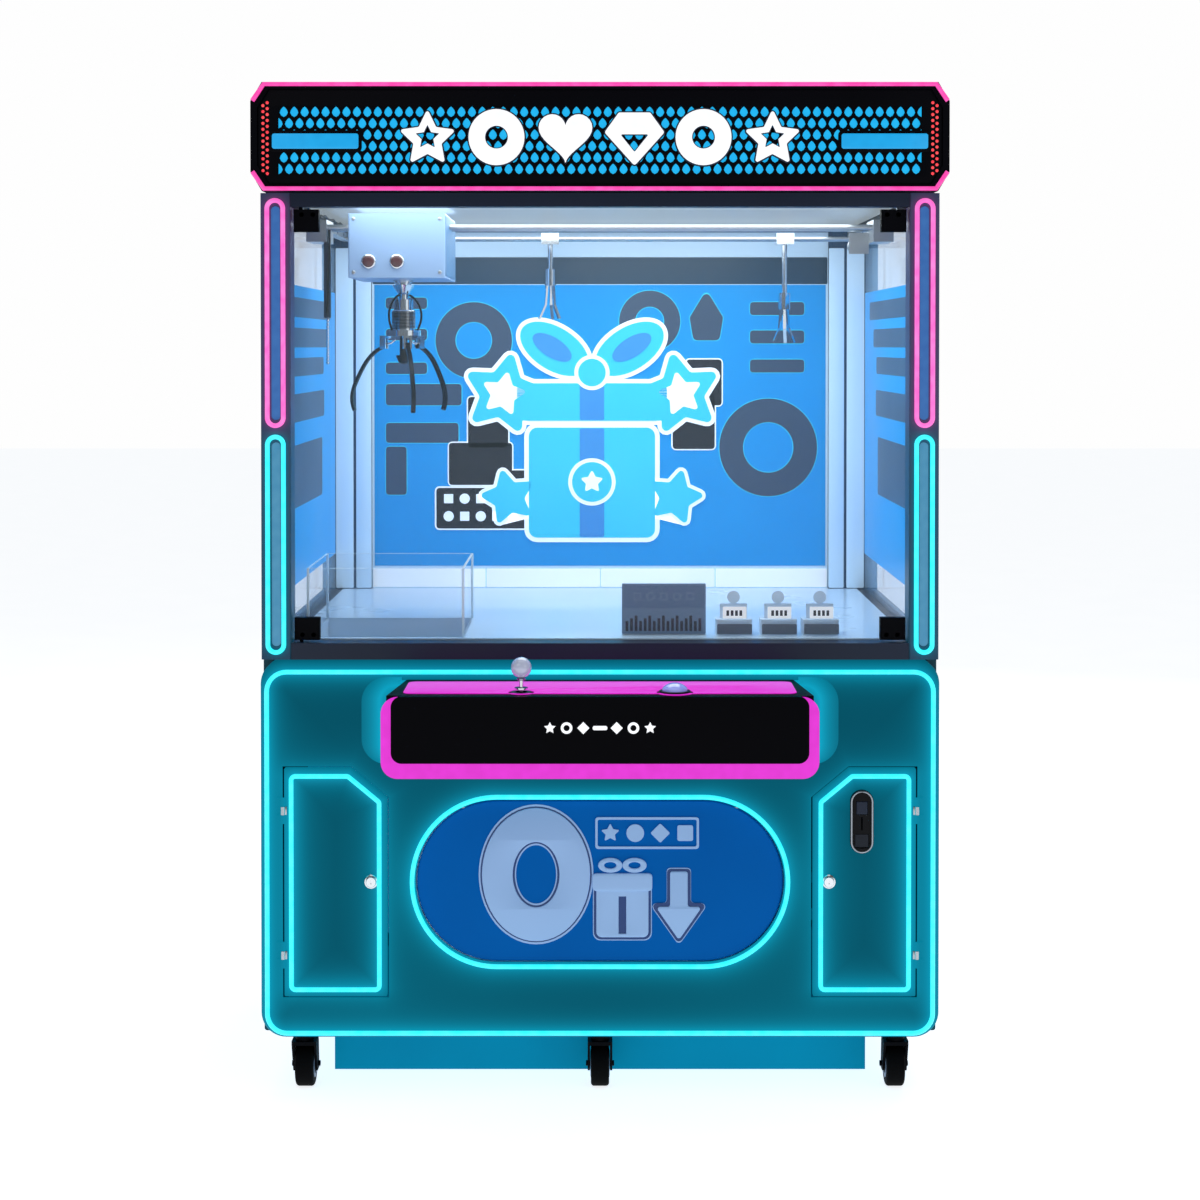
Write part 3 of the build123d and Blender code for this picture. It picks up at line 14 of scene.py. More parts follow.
import bmesh
import bpy
from mathutils import Matrix, Vector
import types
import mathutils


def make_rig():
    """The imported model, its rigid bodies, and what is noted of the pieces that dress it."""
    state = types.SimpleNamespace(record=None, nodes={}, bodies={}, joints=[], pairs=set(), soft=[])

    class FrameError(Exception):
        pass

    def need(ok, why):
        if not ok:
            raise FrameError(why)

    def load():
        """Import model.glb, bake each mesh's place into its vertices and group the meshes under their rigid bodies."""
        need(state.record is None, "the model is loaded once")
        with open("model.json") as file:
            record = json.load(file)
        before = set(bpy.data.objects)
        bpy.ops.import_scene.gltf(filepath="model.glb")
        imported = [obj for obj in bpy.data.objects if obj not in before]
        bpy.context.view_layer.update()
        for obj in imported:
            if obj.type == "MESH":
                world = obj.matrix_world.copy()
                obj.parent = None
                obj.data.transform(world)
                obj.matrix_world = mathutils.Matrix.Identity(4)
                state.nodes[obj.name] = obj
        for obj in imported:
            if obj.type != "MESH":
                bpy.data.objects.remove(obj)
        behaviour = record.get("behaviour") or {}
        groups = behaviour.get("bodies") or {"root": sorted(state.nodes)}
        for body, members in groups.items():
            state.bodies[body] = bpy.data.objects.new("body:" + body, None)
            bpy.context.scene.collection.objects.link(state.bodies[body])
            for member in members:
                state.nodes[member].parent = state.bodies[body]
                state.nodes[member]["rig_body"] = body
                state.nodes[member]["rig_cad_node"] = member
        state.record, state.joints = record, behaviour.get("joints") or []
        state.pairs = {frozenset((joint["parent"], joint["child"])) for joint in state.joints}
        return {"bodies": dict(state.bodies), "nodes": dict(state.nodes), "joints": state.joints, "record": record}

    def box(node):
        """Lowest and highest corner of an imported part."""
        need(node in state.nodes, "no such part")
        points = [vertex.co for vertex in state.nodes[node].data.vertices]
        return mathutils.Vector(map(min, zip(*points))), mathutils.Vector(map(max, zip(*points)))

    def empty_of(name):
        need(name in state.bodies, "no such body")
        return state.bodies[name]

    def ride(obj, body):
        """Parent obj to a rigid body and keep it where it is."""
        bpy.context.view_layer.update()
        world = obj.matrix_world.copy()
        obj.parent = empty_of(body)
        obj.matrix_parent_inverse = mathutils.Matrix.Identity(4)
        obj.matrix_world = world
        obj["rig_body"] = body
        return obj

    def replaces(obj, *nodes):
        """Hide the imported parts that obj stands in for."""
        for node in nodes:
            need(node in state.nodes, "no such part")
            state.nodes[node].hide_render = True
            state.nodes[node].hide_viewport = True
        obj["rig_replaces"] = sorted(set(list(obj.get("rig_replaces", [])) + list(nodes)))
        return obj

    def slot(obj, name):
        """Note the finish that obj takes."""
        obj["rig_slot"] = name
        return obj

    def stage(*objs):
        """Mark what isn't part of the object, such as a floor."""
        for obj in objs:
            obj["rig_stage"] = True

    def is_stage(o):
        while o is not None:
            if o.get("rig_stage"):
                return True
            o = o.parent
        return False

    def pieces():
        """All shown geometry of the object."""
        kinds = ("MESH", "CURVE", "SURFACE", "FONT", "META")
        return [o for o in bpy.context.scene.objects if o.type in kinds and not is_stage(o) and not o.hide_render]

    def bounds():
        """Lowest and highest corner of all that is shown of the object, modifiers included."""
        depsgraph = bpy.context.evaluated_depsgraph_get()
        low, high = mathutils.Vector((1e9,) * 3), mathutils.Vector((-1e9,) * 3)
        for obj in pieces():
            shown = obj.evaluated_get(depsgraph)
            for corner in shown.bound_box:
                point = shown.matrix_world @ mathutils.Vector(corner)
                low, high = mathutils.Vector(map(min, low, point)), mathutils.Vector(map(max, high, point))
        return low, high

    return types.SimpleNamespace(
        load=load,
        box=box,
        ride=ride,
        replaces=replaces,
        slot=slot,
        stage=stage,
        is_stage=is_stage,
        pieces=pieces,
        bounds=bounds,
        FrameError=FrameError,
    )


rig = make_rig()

LOG = logging.getLogger("prize_crane")
MM = 0.001
Point2 = tuple[float, float]
Point3 = tuple[float, float, float]
Tree, Node, Socket = bpy.types.NodeTree, bpy.types.Node, bpy.types.NodeSocket
Piece, Material, Mesh = bpy.types.Object, bpy.types.Material, bpy.types.Mesh


class Body(Enum):
    """Bodies of the frame that the pieces ride on."""

    CABINET = "cabinet"
    GLASS_DOOR = "glass_door"
    LEFT_DOOR = "left_door"
    RIGHT_DOOR = "right_door"
    PRIZE_FLAP = "prize_flap"
    STICK = "stick"
    BRIDGE = "bridge"
    TROLLEY = "trolley"
    CLAW = "claw"


# ---- node helpers ------------------------------------------------
def add(tree: Tree, kind: str, inputs: dict | None = None, **settings) -> Node:
    """Adds a node with its settings, values and links.

    Args:
        tree: Tree that gets the node.
        kind: Blender's identifier of the node.
        inputs: Input name or number to a value, or to a socket that feeds it.
        **settings: Attributes of the node.

    Returns:
        The new node.
    """
    node = tree.nodes.new(kind)
    for name, value in settings.items():
        setattr(node, name, value)
    for key, value in (inputs or {}).items():
        socket = node.inputs[key] if isinstance(key, int) else next(
            s for s in node.inputs if s.name == key and s.enabled)
        if isinstance(value, Socket):
            tree.links.new(value, socket)
        else:
            socket.default_value = value
    return node


def math_node(tree: Tree, operation: str, *values) -> Socket:
    """Adds a Math node and returns its output socket."""
    return add(tree, "ShaderNodeMath", dict(enumerate(values)), operation=operation).outputs[0]


def vector_node(tree: Tree, operation: str, *values) -> Node:
    """Adds a Vector Math node and returns it."""
    return add(tree, "ShaderNodeVectorMath", dict(enumerate(values)), operation=operation)


def linear(code: str) -> tuple[float, float, float, float]:
    """Turns an sRGB hex code into linear RGBA."""
    channels = [int(code[i:i + 2], 16) / 255 for i in (1, 3, 5)]
    rgb = [c / 12.92 if c <= 0.04045 else ((c + 0.055) / 1.055) ** 2.4 for c in channels]
    return rgb[0], rgb[1], rgb[2], 1.0


# ---- finishes ----------------------------------------------------
_BUILT: dict[str, Material] = {}


@dataclass(frozen=True)
class Finish:
    """A surface finish; subclasses add what their process leaves on the surface.

    Attributes:
        name: The material's common name.
        colour: sRGB hex of the clean surface.
        tint: sRGB hex that large, soft patches lean towards.
        roughness: Mean micro roughness.
        metallic: 1 for bare metal.
        coat: Weight of a clear coat.
        grain_mm: Size of the finest relief that shows.
        relief_mm: Height of that relief.
        glow: Emission strength in the finish's own colour; on a part that holds no lamp it is painted light.
        gloss: Specular level; 0.5 is the plain surface, less is a bloomed or dusty one.
    """

    name: str
    colour: str
    tint: str | None = None
    roughness: float = 0.45
    metallic: float = 0.0
    coat: float = 0.0
    grain_mm: float = 1.2
    relief_mm: float = 0.02
    glow: float = 0.0
    gloss: float = 0.5

    def material(self) -> Material:
        """Builds the material once and returns it."""
        if self.name not in _BUILT:
            made = bpy.data.materials.new(self.name.replace(" ", "_"))
            made.use_nodes = True
            tree = made.node_tree
            tree.nodes.clear()
            shader = add(tree, "ShaderNodeBsdfPrincipled", {
                "Metallic": self.metallic, "Coat Weight": self.coat, "Coat Roughness": 0.06,
                "Specular IOR Level": self.gloss})
            add(tree, "ShaderNodeOutputMaterial", {"Surface": shader.outputs[0]})
            place = add(tree, "ShaderNodeTexCoord").outputs["Object"]
            self.dress(tree, shader, place)
            _BUILT[self.name] = made
        return _BUILT[self.name]

    def dress(self, tree: Tree, shader: Node, place: Socket) -> None:
        """Adds colour, roughness and relief.

        Args:
            tree: The material's tree.
            shader: Its principled shader.
            place: Object coordinates in metres.
        """
        patches = add(tree, "ShaderNodeTexNoise", {"Vector": place, "Scale": 3.2, "Detail": 3.0})
        colour = add(tree, "ShaderNodeMix", {
            "Factor": patches.outputs["Fac"], "A": linear(self.colour),
            "B": linear(self.tint or self.colour)}, data_type="RGBA")
        tree.links.new(named(colour, "Result"), shader.inputs["Base Color"])
        self.roughen(tree, shader, patches.outputs["Fac"])
        self.emboss(tree, shader, place)
        # Painted light: the glow adds emission in the surface's own colour.
        if self.glow:
            tree.links.new(named(colour, "Result"), shader.inputs["Emission Color"])
            shader.inputs["Emission Strength"].default_value = self.glow

    def roughen(self, tree: Tree, shader: Node, patches: Socket) -> None:
        """Lets the roughness drift by a few hundredths, as handling and polishing leave it."""
        spread = add(tree, "ShaderNodeMapRange", {
            "Value": patches, "From Min": 0.3, "From Max": 0.7,
            "To Min": max(self.roughness - 0.04, 0.02), "To Max": self.roughness + 0.06})
        tree.links.new(spread.outputs[0], shader.inputs["Roughness"])

    def emboss(self, tree: Tree, shader: Node, place: Socket) -> None:
        """Adds the finest relief as a bump."""
        grain = add(tree, "ShaderNodeTexNoise", {
            "Vector": place, "Scale": 1.0 / (self.grain_mm * MM), "Detail": 2.0})
        bump = add(tree, "ShaderNodeBump", {
            "Height": grain.outputs["Fac"], "Strength": 1.0, "Distance": self.relief_mm * MM})
        tree.links.new(bump.outputs[0], shader.inputs["Normal"])


def named(node: Node, name: str) -> Socket:
    """Finds the live output of a Mix node, which has one of the name for each data type."""
    return next(s for s in node.outputs if s.name == name and s.enabled)


@dataclass(frozen=True)
class Brushed(Finish):
    """Metal brushed along X: long fine scratches that stretch its highlights."""

    metallic: float = 1.0
    roughness: float = 0.3

    def emboss(self, tree: Tree, shader: Node, place: Socket) -> None:
        """Adds scratches about 0.6 mm apart, drawn coarser than real ones so that they show."""
        stretched = add(tree, "ShaderNodeMapping", {"Vector": place, "Scale": (20.0, 900.0, 1600.0)})
        scratch = add(tree, "ShaderNodeTexNoise", {
            "Vector": stretched.outputs[0], "Scale": 1.0, "Detail": 2.0})
        bump = add(tree, "ShaderNodeBump", {
            "Height": scratch.outputs["Fac"], "Strength": 0.6, "Distance": self.relief_mm * MM})
        tree.links.new(bump.outputs[0], shader.inputs["Normal"])


@dataclass(frozen=True)
class Pane(Finish):
    """Clear sheet: seen through, with a faint body colour and a sharp gloss."""

    roughness: float = 0.04
    opacity: float = 0.12
    ior: float = 1.52

    def dress(self, tree: Tree, shader: Node, place: Socket) -> None:
        """Adds the body colour, a low opacity and faint wiping marks.

        Args:
            tree: The material's tree.
            shader: Its principled shader.
            place: Object coordinates in metres.
        """
        shader.inputs["Base Color"].default_value = linear(self.colour)
        shader.inputs["Alpha"].default_value = self.opacity
        shader.inputs["IOR"].default_value = self.ior
        wiped = add(tree, "ShaderNodeMapping", {"Vector": place, "Scale": (2.0, 2.0, 9.0)})
        smears = add(tree, "ShaderNodeTexNoise", {"Vector": wiped.outputs[0], "Scale": 1.5, "Detail": 4.0})
        self.roughen(tree, shader, smears.outputs["Fac"])


@dataclass(frozen=True)
class Neon(Finish):
    """Silicone light tube: a milky wall, evenly lit from inside with faint diode beads."""

    roughness: float = 0.35
    strength: float = 5.0

    def dress(self, tree: Tree, shader: Node, place: Socket) -> None:
        """Adds the light, a little uneven from bead to bead.

        Args:
            tree: The material's tree.
            shader: Its principled shader.
            place: Object coordinates in metres.
        """
        deep = [0.3 * part for part in linear(self.colour)[:3]]
        shader.inputs["Base Color"].default_value = (*deep, 1.0)
        shader.inputs["Roughness"].default_value = self.roughness
        beads = add(tree, "ShaderNodeTexNoise", {"Vector": place, "Scale": 60.0, "Detail": 0.0})
        shade = add(tree, "ShaderNodeMix", {
            "Factor": beads.outputs["Fac"], "A": linear(self.colour),
            "B": linear(self.tint or self.colour)}, data_type="RGBA")
        tree.links.new(named(shade, "Result"), shader.inputs["Emission Color"])
        shader.inputs["Emission Strength"].default_value = self.strength


@dataclass(frozen=True)
class GlowLine:
    """Centre line along which a glow is painted on the front, mirrored about X = 0; most lie along a light tube.

    Attributes:
        centre: Centre in |X| and Z.
        half: Half width and half height.
        radius: Corner radius.
        cut: Point on a slanted corner, and the slant's outward direction; None for no slant.
    """

    centre: Point2
    half: Point2
    radius: float
    cut: tuple[Point2, Point2] | None = None

    def distance(self, tree: Tree, place: Socket) -> Socket:
        """Adds nodes for the distance from this line.

        Args:
            tree: The material's tree.
            place: Point with |X| in x, 0 in y and Z in z.

        Returns:
            Socket with the distance in metres, positive on both sides.
        """
        offset = vector_node(tree, "SUBTRACT", place, (self.centre[0], 0.0, self.centre[1]))
        folded = vector_node(tree, "ABSOLUTE", offset.outputs[0])
        core = (self.half[0] - self.radius, 1.0, self.half[1] - self.radius)
        past = vector_node(tree, "SUBTRACT", folded.outputs[0], core)
        outside = vector_node(tree, "MAXIMUM", past.outputs[0], (0, 0, 0))
        length = vector_node(tree, "LENGTH", outside.outputs[0])
        parts = add(tree, "ShaderNodeSeparateXYZ", {0: past.outputs[0]})
        inside = math_node(tree, "MINIMUM",
                           math_node(tree, "MAXIMUM", parts.outputs["X"], parts.outputs["Z"]), 0.0)
        total = math_node(tree, "ADD", length.outputs["Value"], inside)
        signed = math_node(tree, "SUBTRACT", total, self.radius)
        if self.cut:
            (px, pz), (nx, nz) = self.cut
            norm = math.hypot(nx, nz)
            away = vector_node(tree, "SUBTRACT", place, (px, 0.0, pz))
            slant = vector_node(tree, "DOT_PRODUCT", away.outputs[0], (nx / norm, 0.0, nz / norm))
            signed = math_node(tree, "MAXIMUM", signed, slant.outputs["Value"])
        return math_node(tree, "ABSOLUTE", signed)


@dataclass(frozen=True)
class PaintedGlowShell(Finish):
    """Lacquered moulding with the glow of the tubes lying on it painted into its emission.

    Attributes:
        lines: Lines on the moulding along which the glow is painted, each with the colour of that glow.
        reach_mm: Distance over which the painted glow and the hollow fall to a third.
        spill: Strength of the painted glow beside a line.
        wash: Share of the painted glow that reaches far across the moulding.
        wash_mm: Distance over which that share falls to a third.
        hollow_mm: Depth of the soft hollow that follows each tube.
        front_to: Y behind which no glow is painted.
    """

    lines: tuple[tuple[GlowLine, str], ...] = ()
    reach_mm: float = 26.0
    spill: float = 0.9
    wash: float = 0.3
    wash_mm: float = 150.0
    hollow_mm: float = 5.0
    front_to: float = -0.35

    def dress(self, tree: Tree, shader: Node, place: Socket) -> None:
        """Adds the painted glow and the soft hollow along each line.

        Args:
            tree: The material's tree.
            shader: Its principled shader.
            place: Object coordinates in metres.
        """
        super().dress(tree, shader, place)
        folded = vector_node(tree, "ABSOLUTE", place)
        flat = vector_node(tree, "MULTIPLY", folded.outputs[0], (1.0, 0.0, 1.0)).outputs[0]
        light, groove = None, None
        for line, colour in self.lines:
            away = line.distance(tree, flat)
            falloff = math_node(tree, "EXPONENT", math_node(tree, "MULTIPLY", away, -1 / (self.reach_mm * MM)))
            far = math_node(tree, "EXPONENT", math_node(tree, "MULTIPLY", away, -1 / (self.wash_mm * MM)))
            both = math_node(tree, "MULTIPLY_ADD", far, self.wash, falloff)
            tinted = add(tree, "ShaderNodeVectorMath", {0: linear(colour)[:3], "Scale": both},
                         operation="SCALE").outputs[0]
            light = tinted if light is None else vector_node(tree, "ADD", light, tinted).outputs[0]
            groove = falloff if groove is None else math_node(tree, "MAXIMUM", groove, falloff)
        if light is not None:
            # Painted light: the glow goes into the emission, only in front of front_to.
            depth = add(tree, "ShaderNodeSeparateXYZ", {0: place}).outputs["Y"]
            lit = math_node(tree, "LESS_THAN", depth, self.front_to)
            light = add(tree, "ShaderNodeVectorMath", {0: light, "Scale": lit}, operation="SCALE").outputs[0]
            tree.links.new(light, shader.inputs["Emission Color"])
            shader.inputs["Emission Strength"].default_value = self.spill
            fine = shader.inputs["Normal"].links[0].from_node
            wide = add(tree, "ShaderNodeBump", {
                "Height": groove, "Strength": 0.7, "Distance": self.hollow_mm * MM,
                "Normal": fine.outputs[0]}, invert=True)
            tree.links.new(wide.outputs[0], shader.inputs["Normal"])


# ---- finishes of this machine ------------------------------------
CYAN = "#1FF0FF"
MAGENTA = "#F02E9C"
PINK = "#FF52C0"

# Silicone tubes over diode strips: saturated colour with a paler core.
CYAN_TUBE = Neon("cyan silicone light tube", CYAN, "#4FF4FF", strength=1.05)
MAGENTA_TUBE = Neon("magenta silicone light tube", MAGENTA, "#F862BE", strength=0.95)
PINK_TUBE = Neon("pink silicone light tube", PINK, "#FF92DC", strength=0.95)
# Back-lit opal sheet: even, soft and slightly cool.
CEILING_OPAL = Neon("opal ceiling diffuser", "#B4C0C4", "#CCD6DA", strength=0.40)
SIGN_OPAL = Neon("cyan opal sign diffuser", "#05A0DE", "#18B4EA", strength=1.0)
BAR_OPAL = Neon("blue opal light bar", "#0A9CDC", "#12A8E8", strength=0.85)
CONSOLE_OPAL = Neon("magenta opal console panel", "#D81AC6", "#E828DA", strength=0.85)
LOWER_LENS = Neon("frosted grey-blue lens", "#4A9CC8", "#62B0D6", strength=0.5)
UPPER_LENS = Neon("frosted violet-blue lens", "#3270BE", "#4486D0", strength=0.55)
RED_DIODE = Neon("red diode lens", "#F0283C", "#FF5A5A", strength=1.0)
# White acrylic of the sign's emblems: matt face, softly lit from behind.
WHITE_ACRYLIC = Neon("white face-lit acrylic", "#F4F8FF", "#FFFFFF", strength=0.85)


def vinyl(name: str, colour: str, tint: str, **look: float) -> Finish:
    """Printed vinyl: a thin film whose ink gives a faint grain."""
    return Finish(f"printed {name} vinyl", colour, tint, grain_mm=2.5, relief_mm=0.02, **look)


# Powder coat: baked grains about a millimetre wide give a soft, broken gloss.
BLACK_POWDER = Finish("black powder coat", "#050609", "#090A10", roughness=0.42, gloss=0.04, grain_mm=1.1,
                      relief_mm=0.05)
NAVY_POWDER = Finish("navy powder coat", "#101C30", "#18263E", roughness=0.4, gloss=0.3, grain_mm=1.1,
                     relief_mm=0.05)
SKY_POWDER = Finish("pale blue powder coat", "#8CACD4", "#9DBAE0", roughness=0.38, gloss=0.3, grain_mm=1.2,
                    relief_mm=0.04)
# Black acrylic, dark and even, with hardly any sheen of its own.
BLACK_ACRYLIC = Finish("piano black acrylic", "#030306", "#050509", roughness=0.16, gloss=0.03,
                       grain_mm=9.0, relief_mm=0.01)
BLACK_MOULDED = Finish("black moulded ABS", "#06070A", "#0C0D12", roughness=0.34, gloss=0.12, grain_mm=0.8,
                       relief_mm=0.03)
LAMINATE_TEAL = Finish("teal laminated board", "#06404E", "#0A5260", roughness=0.4, gloss=0.06, grain_mm=2.2,
                       relief_mm=0.05, coat=0.2)
LAMINATE_WHITE = Finish("white laminated board", "#C2DCF2", "#D2E8FA", roughness=0.3, grain_mm=3.0,
                        relief_mm=0.03, coat=0.3)
# The wall film's faint glow is painted light.
WALL_BLUE = Finish("pale blue wall film", "#C6E4FA", "#D6EEFF", roughness=0.42, grain_mm=3.0,
                   relief_mm=0.02, glow=0.10)
# The skirt's glow paints the cyan underglow that lights it; the skirt itself is no lamp.
SKIRT_BLUE = Finish("lit blue enamel", "#00789A", "#018CAE", roughness=0.5, gloss=0.04, grain_mm=2.0,
                    relief_mm=0.04, glow=0.30)
# The flap's blue and its pale pictures glow with painted light; the flap holds no lamp.
FLAP_BLUE = Finish("blue moulded acrylic", "#00509A", "#005EAE", roughness=0.34, gloss=0.03,
                   grain_mm=7.0, relief_mm=0.02, glow=0.22)
FLAP_PALE = Finish("pale blue raised acrylic", "#86ACDC", "#96BAE6", roughness=0.34,
                   grain_mm=5.0, relief_mm=0.02, glow=0.16)
FLAP_NAVY = Finish("navy print ink", "#123A78", "#164284", roughness=0.4, grain_mm=2.0, relief_mm=0.01)
# The glow on the blue, slate, white and sky prints is painted light; no lamp stands behind them.
PRINT_BLUE = vinyl("blue", "#0884C8", "#1492D6", roughness=0.34, gloss=0.2, glow=0.30)
PRINT_SLATE = vinyl("slate", "#33475F", "#3D526C", roughness=0.36, glow=0.06)
PRINT_WHITE = vinyl("white", "#E9F4FF", "#FFFFFF", roughness=0.36, glow=0.30)
PRINT_SKY = vinyl("sky", "#2ABCDF", "#44CAE8", roughness=0.34, gloss=0.2, glow=0.25)
PRINT_BLACK = vinyl("black", "#10151F", "#161C28", roughness=0.34)
# Plated and ground metals.
CHROME = Finish("chrome plated steel", "#D6DADF", "#E4E7EA", roughness=0.09, metallic=1.0, grain_mm=14.0,
                relief_mm=0.01)
ZINC = Brushed("zinc plated steel", "#A9AFB6", "#BCC1C6", relief_mm=0.02)
STEEL = Brushed("brushed stainless steel", "#8E949C", "#A4AAB2", relief_mm=0.03, roughness=0.26)
GUN_STEEL = Finish("blackened spring steel", "#1B1D22", "#2C3038", roughness=0.3, metallic=0.9,
                   grain_mm=2.0, relief_mm=0.03)
RED_KNOB = Finish("red-brown moulded knob", "#3A1216", "#5A1E22", roughness=0.3, coat=0.4, grain_mm=1.0)
LILAC = Finish("lilac translucent dome", "#7F8BE0", "#A3ADF2", roughness=0.16, coat=0.8, grain_mm=6.0,
               relief_mm=0.01, glow=0.35)
CLEAR_BALL = Finish("pearl acrylic ball", "#B9C2E6", "#E2E8FA", roughness=0.1, coat=1.0, grain_mm=8.0,
                    relief_mm=0.01)
RUBBER = Finish("black tyre rubber", "#060607", "#0C0C0E", roughness=0.72, gloss=0.05, grain_mm=0.7,
                relief_mm=0.08)
# Darker blue for the trolley cover's side: painted shade on that face.
COVER_SIDE_SHADE = Finish("steel blue powder coat", "#4E749A", "#5C84AA", roughness=0.4, gloss=0.2)
GREY_PLASTIC = Finish("grey moulded plastic", "#6B7A92", "#7C8BA3", roughness=0.42, grain_mm=0.9,
                      relief_mm=0.03)
GLASS = Pane("float glass", "#CFEFFF", opacity=0.035)
SIDE_GLASS = Pane("tinted float glass", "#8CC0E8", opacity=0.35, ior=1.52, roughness=0.03)
# Pale colour for the guard's clear edges: painted highlight.
POLISHED_EDGE_HIGHLIGHT = Finish("flame polished acrylic edge", "#CFEBFF", "#E6F6FF", roughness=0.2, grain_mm=2.0,
                       relief_mm=0.01)
ACRYLIC = Pane("clear acrylic sheet", "#B4DCFF", opacity=0.03, roughness=0.06)


SIDES = ((-1, "left"), (1, "right"))


# ---- mesh helpers ------------------------------------------------
def finish_piece(piece: Piece, body: Body | str, finish: Finish | None = None,
                 smooth: bool = True) -> Piece:
    """Gives a piece its finish and shading and lets it ride.

    Args:
        piece: The new object, with its place in its mesh.
        body: Body of the frame that it moves with.
        finish: Its finish, or None where the mesh has its materials already.
        smooth: Smooth faces, with edges sharper than 35 degrees kept crisp.

    Returns:
        The same piece.
    """
    if finish:
        piece.data.materials.clear()
        piece.data.materials.append(finish.material())
    if smooth:
        soften(piece.data)
    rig.ride(piece, body.value if isinstance(body, Body) else body)
    LOG.info("%s: %d faces", piece.name, len(piece.data.polygons))
    return piece


def soften(mesh: Mesh, degrees: float = 35.0) -> None:
    """Shades a mesh smooth and marks its edges over an angle as sharp."""
    shape = bmesh.new()
    shape.from_mesh(mesh)
    for face in shape.faces:
        face.smooth = True
    limit = math.radians(degrees)
    for edge in shape.edges:
        edge.smooth = len(edge.link_faces) == 2 and edge.calc_face_angle(0.0) < limit
    shape.to_mesh(mesh)
    shape.free()


def linked(name: str, data: bpy.types.ID) -> Piece:
    """Makes an object of its data and links it to the scene."""
    made = bpy.data.objects.new(name, data)
    bpy.context.collection.objects.link(made)
    return made


def turns(count: int) -> list[float]:
    """Angles that share out a full turn."""
    return [2 * math.pi * i / count for i in range(count)]


def ring_of(shape: bmesh.types.BMesh, place: Matrix, radius: float, rise: float, count: int) -> list:
    """Adds a circle of points round a place's Z axis."""
    return [shape.verts.new(place @ Vector((radius * math.cos(t), radius * math.sin(t), rise)))
            for t in turns(count)]


def wall(shape: bmesh.types.BMesh, rows: Sequence[list]) -> None:
    """Joins each ring of points to the next one with faces."""
    for low, high in zip(rows, rows[1:]):
        for i in range(len(low)):
            j = (i + 1) % len(low)
            shape.faces.new((low[i], low[j], high[j], high[i]))


def object_from(name: str, shape: bmesh.types.BMesh, turn_out: bool = True) -> Piece:
    """Makes an object from a bmesh, with its faces outwards, and frees the bmesh."""
    if turn_out:
        bmesh.ops.remove_doubles(shape, verts=shape.verts[:], dist=1e-6)
        bmesh.ops.recalc_face_normals(shape, faces=shape.faces[:])
    mesh = bpy.data.meshes.new(name)
    shape.to_mesh(mesh)
    shape.free()
    return linked(name, mesh)


def facing_front(y: float) -> Matrix:
    """Placement of a drawing in its own X and Y onto the plane Y = y, facing the player."""
    return Matrix.Translation((0, y, 0)) @ Matrix.Rotation(math.radians(90), 4, "X")


def facing_up(z: float) -> Matrix:
    """Placement of a drawing in its own X and Y onto the plane Z = z."""
    return Matrix.Translation((0, 0, z))


def facing_side(x: float) -> Matrix:
    """Placement onto the plane X = x: drawn X runs along Y, drawn Y up, facing +X."""
    return (Matrix.Translation((x, 0, 0)) @ Matrix.Rotation(math.radians(90), 4, "Z")
            @ Matrix.Rotation(math.radians(90), 4, "X"))


def rounded_polygon(corners: Sequence[Point2], radius: float | Sequence[float],
                    steps: int = 6) -> list[Point2]:
    """Rounds the corners of a polygon.

    Args:
        corners: Corners in order.
        radius: One radius, or one for each corner.
        steps: Arc pieces at each corner.

    Returns:
        Points of the outline, steps + 1 for each corner.
    """
    radii = [radius] * len(corners) if isinstance(radius, (int, float)) else list(radius)
    points: list[Point2] = []
    for i, corner in enumerate(corners):
        here = Vector(corner)
        before = (Vector(corners[i - 1]) - here).normalized()
        after = (Vector(corners[(i + 1) % len(corners)]) - here).normalized()
        half = before.angle(after) / 2
        reach = radii[i] / math.tan(half)
        bisector = (before + after).normalized()
        middle = here + bisector * (radii[i] / math.sin(half))
        start, end = here + before * reach - middle, here + after * reach - middle
        first = math.atan2(start.y, start.x)
        turn = (math.atan2(end.y, end.x) - first + math.pi) % (2 * math.pi) - math.pi
        for k in range(steps + 1):
            angle = first + turn * k / steps
            points.append((middle.x + radii[i] * math.cos(angle), middle.y + radii[i] * math.sin(angle)))
    return points


def inset_corners(corners: Sequence[Point2], inset: float) -> list[Point2]:
    """Moves each side of a convex anticlockwise polygon inwards."""
    moved: list[Point2] = []
    count = len(corners)
    for i in range(count):
        a, b, c = (Vector(corners[(i + k) % count]) for k in (-1, 0, 1))
        n1 = Vector((-(b - a).y, (b - a).x)).normalized()
        n2 = Vector((-(c - b).y, (c - b).x)).normalized()
        shift = (n1 + n2) * (inset / (1 + n1.dot(n2)))
        moved.append(tuple(b + shift))
    return moved


def rectangle(x0: float, x1: float, y0: float, y1: float) -> list[Point2]:
    """Corners of a rectangle, anticlockwise."""
    return [(x0, y0), (x1, y0), (x1, y1), (x0, y1)]


def soft_box(x0: float, x1: float, y0: float, y1: float, radius: float, steps: int = 6) -> list[Point2]:
    """Outline of a rectangle with rounded corners, anticlockwise."""
    return rounded_polygon(rectangle(x0, x1, y0, y1), radius, steps)


def star_points(size: float, inner: float, tilt: float = 0.0, outer: float = 1.0) -> list[Point2]:
    """Corners of a five-pointed star round the origin, the inner ones at a share of its size."""
    reaches = [size * (inner if i % 2 else outer) for i in range(10)]
    angles = [math.radians(90 + tilt + 36 * i) for i in range(10)]
    return [(r * math.cos(a), r * math.sin(a)) for r, a in zip(reaches, angles)]


def circle(x: float, y: float, radius: float, count: int = 48) -> list[Point2]:
    """Points of a circle, anticlockwise."""
    return [(x + radius * math.cos(t), y + radius * math.sin(t)) for t in turns(count)]


def stadium(x: float, y: float, half_w: float, half_h: float, steps: int = 20) -> list[Point2]:
    """Points of a slot shape, wider than it is high."""
    radius = half_h - 1e-6
    return soft_box(x - half_w, x + half_w, y - half_h, y + half_h, radius, steps)


